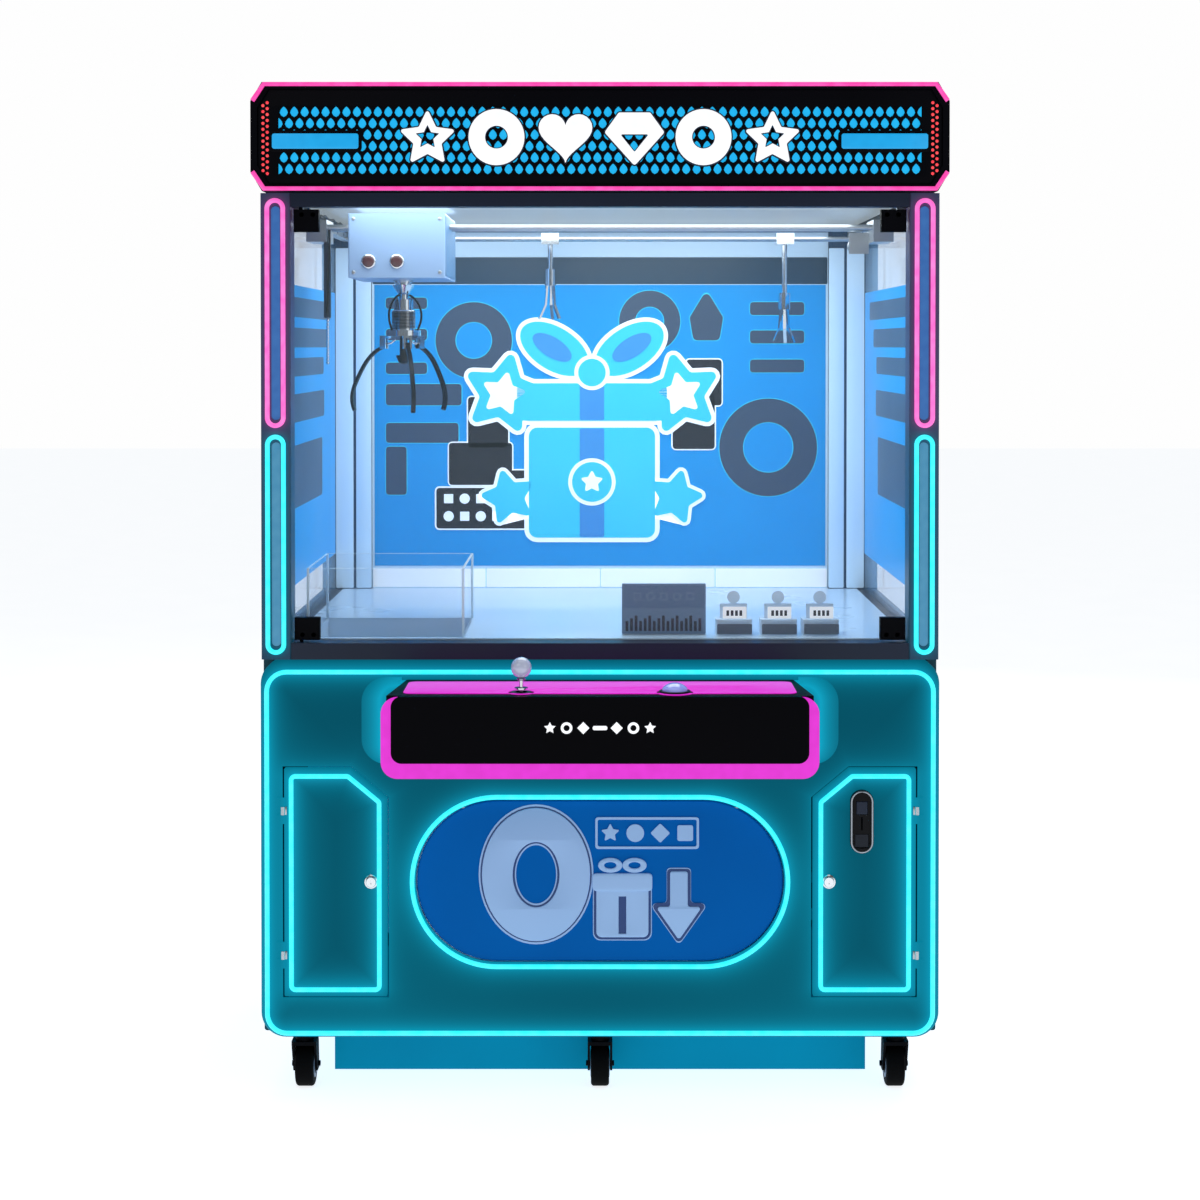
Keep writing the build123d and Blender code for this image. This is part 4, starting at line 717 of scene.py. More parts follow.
def cut_sheet(name: str, outlines: Sequence[Sequence[Point2]], place: Matrix, thickness: float,
              body: Body | str, finish: Finish, edge: float = 0.0, edge_steps: int = 2) -> Piece:
    """Cuts a flat sheet to its outlines, the inner ones as holes.

    Args:
        name: Piece name.
        outlines: Closed outlines in the drawing's X and Y.
        place: Puts the drawing's back face in the frame; the sheet grows along the drawing's +Z.
        thickness: Sheet thickness.
        body: Body that the sheet rides on.
        finish: Its finish.
        edge: Radius of its rounded edges, inside the outline.
        edge_steps: Arc pieces of a rounded edge.

    Returns:
        The sheet.
    """
    curve = bpy.data.curves.new(name, "CURVE")
    curve.dimensions = "2D"
    curve.fill_mode = "BOTH"
    curve.extrude = thickness / 2 - edge
    curve.bevel_depth = edge
    curve.bevel_resolution = edge_steps - 1
    curve.offset = -edge
    for outline in outlines:
        spline = curve.splines.new("POLY")
        spline.points.add(len(outline) - 1)
        for point, (x, y) in zip(spline.points, outline):
            point.co = (x, y, 0, 1)
        spline.use_cyclic_u = True
    drawing = linked(name, curve)
    mesh = bpy.data.meshes.new_from_object(drawing.evaluated_get(bpy.context.evaluated_depsgraph_get()))
    bpy.data.objects.remove(drawing)
    bpy.data.curves.remove(curve)
    mesh.transform(place @ Matrix.Translation((0, 0, thickness / 2)))
    shape = bmesh.new()
    shape.from_mesh(mesh)
    bpy.data.meshes.remove(mesh)
    return finish_piece(object_from(name, shape), body, finish)


def layered(name: str, rings: Sequence[Sequence[Point3]], body: Body | str, finish: Finish) -> Piece:
    """Joins rings of equal length into a closed skin and caps both ends.

    Args:
        name: Piece name.
        rings: Rings of points from the back edge round to the middle of the face.
        body: Body that the piece rides on.
        finish: Its finish.

    Returns:
        The piece.
    """
    shape = bmesh.new()
    rows = [[shape.verts.new(p) for p in ring] for ring in rings]
    wall(shape, rows)
    shape.faces.new(rows[0])
    shape.faces.new(rows[-1])
    return finish_piece(object_from(name, shape), body, finish)


def turned(name: str, profile: Sequence[Point2], place: Matrix, body: Body | str, finish: Finish,
           steps: int = 40) -> Piece:
    """Turns a profile of radius and height about its own Z axis, closed at both ends.

    Args:
        name: Piece name.
        profile: (radius, height) points from bottom to top.
        place: Where the axis goes.
        body: Body that the piece rides on.
        finish: Its finish.
        steps: Pieces round the axis.

    Returns:
        The piece.
    """
    shape = bmesh.new()
    rows = [ring_of(shape, place, max(radius, 1e-5), height, steps) for radius, height in profile]
    wall(shape, rows)
    shape.faces.new(rows[0])
    shape.faces.new(rows[-1])
    return finish_piece(object_from(name, shape), body, finish)


def joined(name: str, pieces: Sequence[Piece], body: Body | str) -> Piece:
    """Joins pieces of one body into one, keeping their materials.

    Args:
        name: Name of the joined piece.
        pieces: Pieces that already have their finish.
        body: Body that the joined piece rides on.

    Returns:
        The joined piece.
    """
    shape = bmesh.new()
    materials: list[Material] = []
    for piece in pieces:
        first = len(shape.faces)
        shape.from_mesh(piece.data)
        material = piece.data.materials[0]
        if material not in materials:
            materials.append(material)
        shape.faces.ensure_lookup_table()
        for face in shape.faces[first:]:
            face.material_index = materials.index(material)
    for piece in pieces:
        bpy.data.objects.remove(piece)
    made = object_from(name, shape, turn_out=False)
    for material in materials:
        made.data.materials.append(material)
    return finish_piece(made, body, smooth=False)


# ---- geometry node trees -----------------------------------------
def new_tree(name: str, sockets: Sequence[tuple[str, str]]) -> Tree:
    """Starts a geometry tree with its input sockets and one geometry output.

    Args:
        name: Tree name.
        sockets: Name and socket type of each input.

    Returns:
        The tree, with its group input and output nodes.
    """
    tree = bpy.data.node_groups.new(name, "GeometryNodeTree")
    for label, kind in sockets:
        tree.interface.new_socket(name=label, in_out="INPUT", socket_type=kind)
    tree.interface.new_socket(name="Geometry", in_out="OUTPUT", socket_type="NodeSocketGeometry")
    tree.nodes.new("NodeGroupInput")
    tree.nodes.new("NodeGroupOutput")
    return tree


def ends(tree: Tree) -> tuple[bpy.types.NodeOutputs, Node]:
    """Returns the tree's input sockets and its output node."""
    return tree.nodes["Group Input"].outputs, tree.nodes["Group Output"]


def close_tree(tree: Tree, geometry: Socket, material: Socket) -> Tree:
    """Ends a tree in realized geometry with its material."""
    real = add(tree, "GeometryNodeRealizeInstances", {"Geometry": geometry})
    dressed = add(tree, "GeometryNodeSetMaterial", {"Geometry": real.outputs[0], "Material": material})
    tree.links.new(dressed.outputs[0], ends(tree)[1].inputs["Geometry"])
    return tree


def light_tube_tree() -> Tree:
    """Tree that runs a round tube along a path."""
    tree = new_tree("light_tube", [("Path", "NodeSocketGeometry"), ("Radius", "NodeSocketFloat"),
                                   ("Material", "NodeSocketMaterial")])
    given = ends(tree)[0]
    ring = add(tree, "GeometryNodeCurvePrimitiveCircle", {"Resolution": 14, "Radius": given["Radius"]})
    wall = add(tree, "GeometryNodeCurveToMesh", {
        "Curve": given["Path"], "Profile Curve": ring.outputs["Curve"], "Fill Caps": True})
    return close_tree(tree, wall.outputs["Mesh"], given["Material"])


def set_out_tree() -> Tree:
    """Tree that sets one shape on each given point."""
    tree = new_tree("set_out", [("Points", "NodeSocketGeometry"), ("Shape", "NodeSocketObject"),
                                ("Scale", "NodeSocketFloat"), ("Material", "NodeSocketMaterial")])
    given = ends(tree)[0]
    shape = add(tree, "GeometryNodeObjectInfo", {"Object": given["Shape"]})
    placed = add(tree, "GeometryNodeInstanceOnPoints", {
        "Points": given["Points"], "Instance": shape.outputs["Geometry"], "Scale": given["Scale"]})
    return close_tree(tree, placed.outputs[0], given["Material"])


def perforation_tree() -> Tree:
    """Tree that tiles a pierced cell in staggered rows, centred on the origin in X and Z."""
    tree = new_tree("perforation", [
        ("Base", "NodeSocketGeometry"), ("Cell", "NodeSocketObject"), ("Columns", "NodeSocketInt"),
        ("Row pairs", "NodeSocketInt"), ("Pitch", "NodeSocketFloat"), ("Row height", "NodeSocketFloat"),
        ("Material", "NodeSocketMaterial")])
    given = ends(tree)[0]
    cell = add(tree, "GeometryNodeObjectInfo", {"Object": given["Cell"]})
    width = math_node(tree, "MULTIPLY", given["Pitch"], math_node(tree, "SUBTRACT", given["Columns"], 1))
    rise = math_node(tree, "MULTIPLY", given["Row height"], 2.0)
    height = math_node(tree, "MULTIPLY", rise, math_node(tree, "SUBTRACT", given["Row pairs"], 1))
    grid = add(tree, "GeometryNodeMeshGrid", {
        "Size X": width, "Size Y": height, "Vertices X": given["Columns"],
        "Vertices Y": given["Row pairs"]})
    upright = add(tree, "GeometryNodeTransform", {
        "Geometry": grid.outputs["Mesh"], "Rotation": (math.radians(90), 0, 0)})
    joined_rows = add(tree, "GeometryNodeJoinGeometry")
    for sign in (-1, 1):
        shift = add(tree, "ShaderNodeCombineXYZ", {
            "X": math_node(tree, "MULTIPLY", given["Pitch"], sign * 0.25),
            "Z": math_node(tree, "MULTIPLY", given["Row height"], sign * 0.5)})
        moved = add(tree, "GeometryNodeTransform", {
            "Geometry": upright.outputs[0], "Translation": shift.outputs[0]})
        placed = add(tree, "GeometryNodeInstanceOnPoints", {
            "Points": moved.outputs[0], "Instance": cell.outputs["Geometry"]})
        tree.links.new(placed.outputs[0], joined_rows.inputs[0])
    return close_tree(tree, joined_rows.outputs[0], given["Material"])


def grow(name: str, seed: Piece, tree: Tree, values: dict) -> Piece:
    """Runs a geometry tree on a seed object and keeps the result as a plain mesh.

    Args:
        name: Name of the result.
        seed: Object that carries the modifier; it is removed.
        tree: Geometry tree.
        values: Input name to value.

    Returns:
        The new mesh object.
    """
    modifier = seed.modifiers.new(tree.name, "NODES")
    modifier.node_group = tree
    for item in tree.interface.items_tree:
        if item.in_out == "INPUT" and item.name in values:
            modifier[item.identifier] = values[item.name]
    evaluated = seed.evaluated_get(bpy.context.evaluated_depsgraph_get())
    mesh = bpy.data.meshes.new_from_object(evaluated, preserve_all_data_layers=True,
                                           depsgraph=bpy.context.evaluated_depsgraph_get())
    bpy.data.objects.remove(seed)
    mesh.name = name
    return linked(name, mesh)


class Trees:
    """The geometry trees, each built once."""

    def __init__(self) -> None:
        """Builds the three trees."""
        self.tube = light_tube_tree()
        self.set_out = set_out_tree()
        self.perforation = perforation_tree()

    def light_tube(self, name: str, path: Sequence[Point3], body: Body | str, finish: Finish,
                   radius: float = 5 * MM, closed: bool = True) -> Piece:
        """Runs a light tube along a path.

        Args:
            name: Piece name.
            path: Points of its centre line.
            body: Body that it rides on.
            finish: Its finish.
            radius: Tube radius.
            closed: Whether the path is a loop.

        Returns:
            The tube.
        """
        curve = bpy.data.curves.new(name + "_path", "CURVE")
        curve.dimensions = "3D"
        spline = curve.splines.new("POLY")
        spline.points.add(len(path) - 1)
        for point, place in zip(spline.points, path):
            point.co = (*place, 1)
        spline.use_cyclic_u = closed
        seed = linked(name + "_path", curve)
        made = grow(name, seed, self.tube, {"Radius": radius, "Material": finish.material()})
        return finish_piece(made, body)

    def repeat(self, name: str, shape: Piece, points: Sequence[Point3], body: Body | str,
               finish: Finish, scale: float = 1.0) -> Piece:
        """Sets a shape on each point, and removes the shape that was copied.

        Args:
            name: Piece name.
            shape: Shape around the origin.
            points: Where the copies go.
            body: Body that they ride on.
            finish: Their finish.
            scale: Size of each copy.

        Returns:
            One piece with all copies.
        """
        mesh = bpy.data.meshes.new(name + "_points")
        mesh.from_pydata(list(points), [], [])
        seed = linked(name + "_points", mesh)
        made = grow(name, seed, self.set_out, {
            "Shape": shape, "Scale": scale, "Material": finish.material()})
        bpy.data.objects.remove(shape)
        return finish_piece(made, body)


def stud(radius: float, rise: float, facing: Point3, sides: int = 12, dome: float = 0.6) -> Piece:
    """Makes a small domed head around the origin.

    Args:
        radius: Head radius.
        rise: Head height.
        facing: Direction that the head faces.
        sides: Pieces round it.
        dome: Radius of its flat top, as a share of the head's.

    Returns:
        The head, for copying.
    """
    turn = Vector(facing).to_track_quat("Z", "Y").to_matrix().to_4x4()
    profile = [(radius, 0.0), (radius, rise * 0.35), (radius * (1 + dome) / 2, rise * 0.85),
               (radius * dome, rise)]
    shape = bmesh.new()
    rows = [ring_of(shape, turn, r, h, sides) for r, h in profile]
    wall(shape, rows)
    shape.faces.new(rows[-1])
    shape.faces.new(list(reversed(rows[0])))
    return object_from("stud", shape)


def dress_node(node: str, finish: Finish) -> None:
    """Gives a node of the frame its finish."""
    for slot in FRAME["nodes"][node].material_slots:
        slot.material = finish.material()


def beam(name: str, low: Point3, high: Point3, body: Body | str, finish: Finish,
         edge: float = 1.5 * MM) -> Piece:
    """Makes a bar between two corners, with rounded edges.

    Args:
        name: Piece name.
        low: Lowest corner.
        high: Highest corner.
        body: Body that it rides on.
        finish: Its finish.
        edge: Edge radius.

    Returns:
        The bar.
    """
    shape = bmesh.new()
    bmesh.ops.create_cube(shape, size=1.0)
    centre = (Vector(low) + Vector(high)) / 2
    size = Vector(high) - Vector(low)
    for vert in shape.verts:
        vert.co = Vector(a * b for a, b in zip(vert.co, size)) + centre
    bmesh.ops.bevel(shape, geom=shape.edges[:], offset=min(edge, min(size) * 0.4), segments=2,
                    affect="EDGES", profile=0.5)
    return finish_piece(object_from(name, shape), body, finish)


# ---- lower cabinet -----------------------------------------------
@dataclass
class LowerCabinet:
    """Moulded front shell with its light tubes, side boards, back board, skirt and casters."""

    trees: Trees
    tube_out: float = 5.2 * MM
    outline_half: Point2 = (0.712, 0.3875)
    outline_z: float = 0.5415
    outline_corner: float = 0.042
    flap_half: Point2 = (0.402, 0.182)
    flap_z: float = 0.479
    door_centre: Point2 = (0.566, 0.477)
    door_half: Point2 = (0.094, 0.229)
    door_cut: tuple[Point2, Point2] = ((0.5432, 0.7097), (-0.64, 0.77))

    def lines(self) -> tuple[tuple[GlowLine, str], ...]:
        """Light tubes whose glow is painted on the shell, with the colour of that glow."""
        glow = "#10B8DC"
        return (
            (GlowLine((0.0, self.outline_z), self.outline_half, self.outline_corner), glow),
            (GlowLine((0.0, self.flap_z), self.flap_half, self.flap_half[1] - 1e-4), glow),
            (GlowLine(self.door_centre, self.door_half, 0.009, self.door_cut), glow),
        )

    def shell_finish(self) -> PaintedGlowShell:
        """Teal gel coat on a glass-fibre moulding: deep gloss with a slight waviness, and the glow of its tubes
        painted on it.
        """
        return PaintedGlowShell("teal gel coat", "#01303F", "#023A4A", roughness=0.42, coat=0.0, grain_mm=26.0,
                        relief_mm=0.25, lines=self.lines(), reach_mm=17.0, spill=0.48, wash=0.24, gloss=0.02)

    def build(self) -> None:
        """Builds every piece of the lower cabinet."""
        dress_node("front_shell", self.shell_finish())
        dress_node("side_panels", LAMINATE_TEAL)
        dress_node("rear_panel", LAMINATE_TEAL)
        dress_node("base_pan", SKIRT_BLUE)
        dress_node("prize_chute", LAMINATE_WHITE)
        dress_node("service_equipment", ZINC)
        dress_node("flap_hinge", ZINC)
        self.tubes()
        self.side_boards()
        self.back_board()
        self.casters()

    def tubes(self) -> None:
        """Body outline and flap ring."""
        y = -0.435 - self.tube_out
        (hx, hz), z = self.outline_half, self.outline_z
        outline = soft_box(-hx, hx, z - hz, z + hz, self.outline_corner, 10)
        piece = self.trees.light_tube("body_outline_tube", [(x, y, h) for x, h in outline],
                                      Body.CABINET, CYAN_TUBE)
        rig.slot(piece, "light_tube")
        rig.replaces(piece, "light_tubes")
        hx, hz = self.flap_half
        ring = stadium(0.0, self.flap_z, hx, hz, 24)
        piece = self.trees.light_tube("flap_ring_tube", [(x, y, h) for x, h in ring],
                                      Body.CABINET, CYAN_TUBE)
        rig.slot(piece, "light_tube")

    def side_boards(self) -> None:
        """Edge trims, printed bands and screws on both side boards."""
        low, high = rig.box("side_panels")
        heads: list[Point3] = []
        for sign, label in SIDES:
            x = high[0] * sign
            place = facing_side(x - 0.0012) if sign > 0 else mirrored_side(x + 0.0012)
            y0, y1, z0, z1 = low[1] + 0.03, high[1] - 0.03, low[2] + 0.04, high[2] - 0.04
            frame = [soft_box(y0, y1, z0, z1, 0.05, 8),
                     soft_box(y0 + 0.012, y1 - 0.012, z0 + 0.012, z1 - 0.012, 0.04, 8)]
            cut_sheet(f"side_band_frame_{label}", frame, place, 0.0010, Body.CABINET, PRINT_SKY)
            for i in range(3):
                step = 0.11 * i
                band = [(y0 + 0.10 + step, z0 + 0.06), (y0 + 0.16 + step, z0 + 0.06),
                        (y0 + 0.52 + step, z1 - 0.06), (y0 + 0.46 + step, z1 - 0.06)]
                cut_sheet(f"side_band_{i}_{label}", [rounded_polygon(band, 0.012, 4)], place, 0.0010,
                          Body.CABINET, (PRINT_SKY, PRINT_BLUE, FLAP_NAVY)[i])
            for y in (low[1] + 0.018, (low[1] + high[1]) / 2, high[1] - 0.018):
                for z in (low[2] + 0.02, high[2] - 0.02):
                    heads.append((x - sign * 0.0010, y, z))
        for sign in (-1, 1):
            side = [p for p in heads if p[0] * sign > 0]
            self.trees.repeat(f"side_board_screws_{'left' if sign < 0 else 'right'}",
                              stud(0.0052, 0.0010, (sign, 0, 0)), side, Body.CABINET, ZINC)

    def back_board(self) -> None:
        """Screws round the back board."""
        low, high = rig.box("rear_panel")
        y = high[1] - 0.0012
        points = [(x, y, z) for x in (low[0] + 0.02, -0.35, 0.0, 0.35, high[0] - 0.02)
                  for z in (low[2] + 0.02, high[2] - 0.02)]
        points += [(x, y, z) for x in (low[0] + 0.02, high[0] - 0.02) for z in (0.35, 0.60, 0.78)]
        self.trees.repeat("back_board_screws", stud(0.0052, 0.0012, (0, 1, 0)), points, Body.CABINET, ZINC)

    def casters(self) -> None:
        """Hub caps and brake pedals of the five casters."""
        for node in FRAME["nodes"]:
            if node.startswith("caster_") and node.endswith("_fork"):
                dress_node(node, BLACK_POWDER)
                self.pedal(node[:-5])
            elif node.startswith("caster_") and node.endswith("_wheel"):
                dress_node(node, RUBBER)
                self.hub(node[:-6])

    def hub(self, name: str) -> None:
        """Grey hub discs on both sides of a wheel."""
        low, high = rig.box(f"{name}_wheel")
        centre = (Vector(low) + Vector(high)) / 2
        discs = []
        for sign in (-1, 1):
            turn = Matrix.Rotation(math.radians(90 * sign), 4, "Y")
            start = Vector(((high[0] if sign > 0 else low[0]) - sign * 0.004, centre.y, centre.z))
            profile = [(0.030, 0.0), (0.030, 0.0044), (0.026, 0.0052), (0.018, 0.0030), (0.0085, 0.0030)]
            discs.append(turned(f"disc_{sign}", profile, Matrix.Translation(start) @ turn,
                                f"{name}_wheel", GREY_PLASTIC, 32))
        joined(f"{name}_hub", discs, f"{name}_wheel")

    def pedal(self, name: str) -> None:
        """Black brake pedal over a wheel."""
        low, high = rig.box(f"{name}_fork")
        middle = (low[0] + high[0]) / 2
        _, wheel_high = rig.box(f"{name}_wheel")
        z = wheel_high[2] + 0.004
        y = wheel_high[1] - 0.014
        plate = soft_box(middle - 0.019, middle + 0.019, y - 0.024, y + 0.016, 0.006, 4)
        cut_sheet(f"{name}_pedal", [plate], facing_up(z), 0.005, name, BLACK_MOULDED, 0.0015)


def mirrored_side(x: float) -> Matrix:
    """Placement onto the plane X = x that faces -X: drawn X runs along Y."""
    return Matrix.Translation((x, 0, 0)) @ Matrix.Rotation(math.radians(90), 4, "Z") @ Matrix.Rotation(
        math.radians(-90), 4, "X") @ Matrix.Scale(-1, 4, (0, 1, 0))


# ---- service doors -----------------------------------------------
@dataclass
class ServiceDoors:
    """Two hinged doors: a soft-edged panel in a rim that carries a light tube."""

    trees: Trees
    shell: LowerCabinet
    corners: tuple[Point2, ...] = ((0.456, 0.232), (0.676, 0.232), (0.676, 0.722), (0.533, 0.722),
                                   (0.456, 0.658))
    face_y: float = -0.437
    depth: float = 0.016
    tube_inset: float = 0.016
    knuckle_r: float = 0.005
    hinge: Point2 = (0.678, -0.441)
    hinge_z: tuple[float, float] = (0.322, 0.632)

    def build(self) -> None:
        """Builds both doors, their tubes, locks and the coin entry."""
        for sign, side in SIDES:
            body = Body.LEFT_DOOR if sign < 0 else Body.RIGHT_DOOR
            self.panel(sign, side, body)
            self.lock_ring(sign, side, body)
            dress_node(f"{side}_lock", CHROME)
        dress_node("coin_entry", BLACK_MOULDED)
        dress_node("coin_reject_button", NAVY_POWDER)
        dress_node("coin_return_flap", GUN_STEEL)
        self.coin_rim()

    def outline(self, sign: int, inset: float, radius: float) -> list[Point2]:
        """Door outline at an inset, mirrored for the left door."""
        shape = rounded_polygon(inset_corners(self.corners, inset), radius, 6)
        return [(sign * x, z) for x, z in shape]

    def panel(self, sign: int, side: str, body: Body) -> None:
        """Door skin from its back edge over the rim and recess to the swell in the middle."""
        y = self.face_y
        profile = [(0.0, self.depth, 0.003), (0.0, 0.0022, 0.003), (0.0007, 0.0007, 0.003),
                   (0.0022, 0.0, 0.004), (0.024, 0.0, 0.009), (0.026, 0.0012, 0.010),
                   (0.029, 0.0050, 0.012), (0.033, 0.0068, 0.012), (0.040, 0.0072, 0.012),
                   (0.050, 0.0058, 0.012), (0.062, 0.0040, 0.012), (0.078, 0.0028, 0.009),
                   (0.094, 0.0024, 0.006)]
        rings = [[(x, y + back, z) for x, z in self.outline(sign, inset, radius)]
                 for inset, back, radius in profile]
        # The skin takes the shell's finish, with the glow of the door tube painted on it.
        finish = self.shell.shell_finish()
        skin = layered(f"{side}_door_panel", rings, body, finish)
        if side == "right":
            self.coin_opening(skin)
        barrels = []
        for z in self.hinge_z:
            place = Matrix.Translation((sign * self.hinge[0], self.hinge[1], z - 0.009))
            profile_r = [(self.knuckle_r - 0.0004, 0.0), (self.knuckle_r, 0.0005),
                         (self.knuckle_r, 0.0175), (self.knuckle_r - 0.0004, 0.018)]
            barrels.append(turned(f"barrel_{z}", profile_r, place, body, ZINC, 20))
            x0, x1 = sorted((sign * self.hinge[0], sign * (self.hinge[0] - 0.009)))
            barrels.append(beam(f"leaf_{z}", (x0, -0.442, z - 0.009), (x1, -0.4365, z + 0.009), body, ZINC))
        joined(f"{side}_door_knuckles", barrels, body)
        path = [(x, y - 0.005, z) for x, z in self.outline(sign, self.tube_inset, 0.009)]
        tube = self.trees.light_tube(f"{side}_door_tube", path, body, CYAN_TUBE)
        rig.slot(tube, "light_tube")
        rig.slot(skin, "teal_lacquer")
        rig.replaces(skin, f"{side}_door")

    def coin_opening(self, skin: Piece) -> None:
        """Cuts the way for the coin entry and its inward-swinging flap through the door's skin."""
        outline = soft_box(0.5385, 0.5815, 0.5435, 0.6725, 0.0213, 8)
        shape = bmesh.new()
        front, back = ([shape.verts.new((x, self.face_y + y, z)) for x, z in outline] for y in (-0.012, 0.045))
        shape.faces.new(front)
        shape.faces.new(back)
        for i in range(len(front)):
            shape.faces.new((front[i - 1], front[i], back[i], back[i - 1]))
        cutter = object_from("coin_cutter", shape)
        cut = skin.modifiers.new("coin_opening", "BOOLEAN")
        cut.object, cut.solver = cutter, "EXACT"
        graph = bpy.context.evaluated_depsgraph_get()
        skin.data = bpy.data.meshes.new_from_object(skin.evaluated_get(graph))
        skin.modifiers.clear()
        bpy.data.objects.remove(cutter)
        soften(skin.data)

    def lock_ring(self, sign: int, side: str, body: Body) -> None:
        """Chrome escutcheon round a cam lock."""
        profile = [(0.0106, 0.0), (0.0155, 0.0), (0.0155, 0.0015), (0.0140, 0.0032), (0.0118, 0.0036),
                   (0.0106, 0.0030)]
        place = Matrix.Translation((sign * 0.490, self.face_y + 0.0026, 0.478)) @ Matrix.Rotation(
            math.radians(90), 4, "X")
        shape = bmesh.new()
        wall(shape, [ring_of(shape, place, radius, rise, 40) for radius, rise in profile + profile[:1]])
        finish_piece(object_from(f"{side}_lock_ring", shape), body, CHROME)

    def coin_rim(self) -> None:
        """Bright rim on the coin entry."""
        low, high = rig.box("coin_entry")
        x, z = (low[0] + high[0]) / 2, (low[2] + high[2]) / 2
        half_w, half_h = (high[0] - low[0]) / 2, (high[2] - low[2]) / 2
        outer = [(x + b, z + a) for a, b in stadium(0, 0, half_h - 0.001, half_w - 0.001, 12)]
        inner = [(x + b, z + a) for a, b in stadium(0, 0, half_h - 0.0045, half_w - 0.0045, 12)]
        cut_sheet("coin_entry_rim", [outer, inner], facing_front(low[1] + 0.0012), 0.0022, Body.RIGHT_DOOR,
                  STEEL, 0.0008)


# ---- prize flap --------------------------------------------------
@dataclass
class PrizeFlap:
    """Blue flap with raised pictures of a ring, a boxed row of prizes, a parcel and an arrow."""

    face_y: float = -0.429
    raised_mm: float = 5.0

    def build(self) -> None:
        """Builds the raised pictures."""
        dress_node("prize_flap", FLAP_BLUE)
        ring_c, ring_rx, ring_rz = (-0.137, 0.493), 0.116, 0.1435
        self.picture("ring", [self.oval(ring_c, ring_rx, ring_rz), self.oval(ring_c, 0.050, 0.070)],
                     [self.oval(ring_c, ring_rx + 0.007, ring_rz + 0.007),
                      self.oval(ring_c, 0.043, 0.063)])
        box = rectangle(-0.010, 0.212, 0.548, 0.616)
        frame = [rounded_polygon(box, 0.006, 3), rounded_polygon(inset_corners(box, 0.005), 0.004, 3)]
        self.sheet("framed_row_edge", frame, 0.003, FLAP_PALE)
        for i in range(4):
            x = 0.022 + i * 0.0535
            self.sheet(f"framed_row_mark_{i}", [self.mark(i, x, 0.582, 0.021)], 0.003, FLAP_PALE)
        parcel = soft_box(-0.008, 0.104, 0.358, 0.488, 0.012, 5)
        slot_v = rectangle(0.040, 0.056, 0.366, 0.446)
        lid = soft_box(-0.016, 0.112, 0.458, 0.496, 0.008, 4)
        self.picture("parcel", [parcel, slot_v], [rounded_polygon(rectangle(-0.015, 0.111, 0.351, 0.495),
                                                                  0.016, 5)])
        self.sheet("parcel_lid", [lid], 0.0070, FLAP_PALE, 0.002)
        for sign in (-1, 1):
            loop = self.oval((0.048 + sign * 0.026, 0.513), 0.026, 0.016)
            hole = self.oval((0.048 + sign * 0.026, 0.513), 0.013, 0.007)
            self.sheet(f"parcel_bow_{'a' if sign < 0 else 'b'}", [loop, hole], 0.0050, FLAP_PALE, 0.0015)
        arrow = [(0.150, 0.500), (0.188, 0.500), (0.188, 0.424), (0.219, 0.424), (0.169, 0.352),
                 (0.119, 0.424), (0.150, 0.424)]
        wide = [(0.143, 0.507), (0.195, 0.507), (0.195, 0.431), (0.233, 0.431), (0.169, 0.340),
                (0.105, 0.431), (0.143, 0.431)]
        self.picture("arrow", [rounded_polygon(arrow, 0.005, 3)], [rounded_polygon(wide, 0.008, 3)])

    def oval(self, centre: Point2, rx: float, rz: float, count: int = 56) -> list[Point2]:
        """Points of an ellipse."""
        return [(centre[0] + rx * math.cos(t), centre[1] + rz * math.sin(t)) for t in turns(count)]

    def mark(self, kind: int, x: float, z: float, size: float) -> list[Point2]:
        """One of four small prize marks: star, disc, diamond and square."""
        if kind == 0:
            points = [(x + a, z + b) for a, b in star_points(size, 0.5)]
            return rounded_polygon(points, 0.0015, 2)
        if kind == 1:
            return circle(x, z, size * 0.9, 32)
        if kind == 2:
            return rounded_polygon([(x + size, z), (x, z + size), (x - size, z), (x, z - size)], 0.003, 3)
        return rounded_polygon(rectangle(x - size * 0.8, x + size * 0.8, z - size * 0.8, z + size * 0.8),
                               0.004, 3)

    def sheet(self, name: str, outlines: Sequence[Sequence[Point2]], thickness: float, finish: Finish,
              edge: float = 0.0) -> None:
        """Cuts one flat picture layer and sets it on the flap."""
        made = cut_sheet(f"flap_{name}", outlines, facing_front(self.face_y), thickness, Body.PRIZE_FLAP,
                         finish, edge)
        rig.slot(made, "flap_blue")

    def picture(self, name: str, outlines: Sequence[Sequence[Point2]],
                border: Sequence[Sequence[Point2]]) -> None:
        """Sets a raised pale picture on a navy border with a thin pale edge."""
        self.sheet(f"{name}_edge", border, 0.0016, FLAP_PALE)
        inner = [self.shrunk(line, 0.97) if i == 0 else self.shrunk(line, 1.06)
                 for i, line in enumerate(border)]
        self.sheet(f"{name}_border", inner, 0.0024, FLAP_NAVY)
        self.sheet(name, outlines, self.raised_mm * MM, FLAP_PALE, 0.002)

    def shrunk(self, outline: Sequence[Point2], factor: float) -> list[Point2]:
        """Scales an outline about its own middle."""
        cx = sum(p[0] for p in outline) / len(outline)
        cz = sum(p[1] for p in outline) / len(outline)
        return [(cx + (x - cx) * factor, cz + (z - cz) * factor) for x, z in outline]


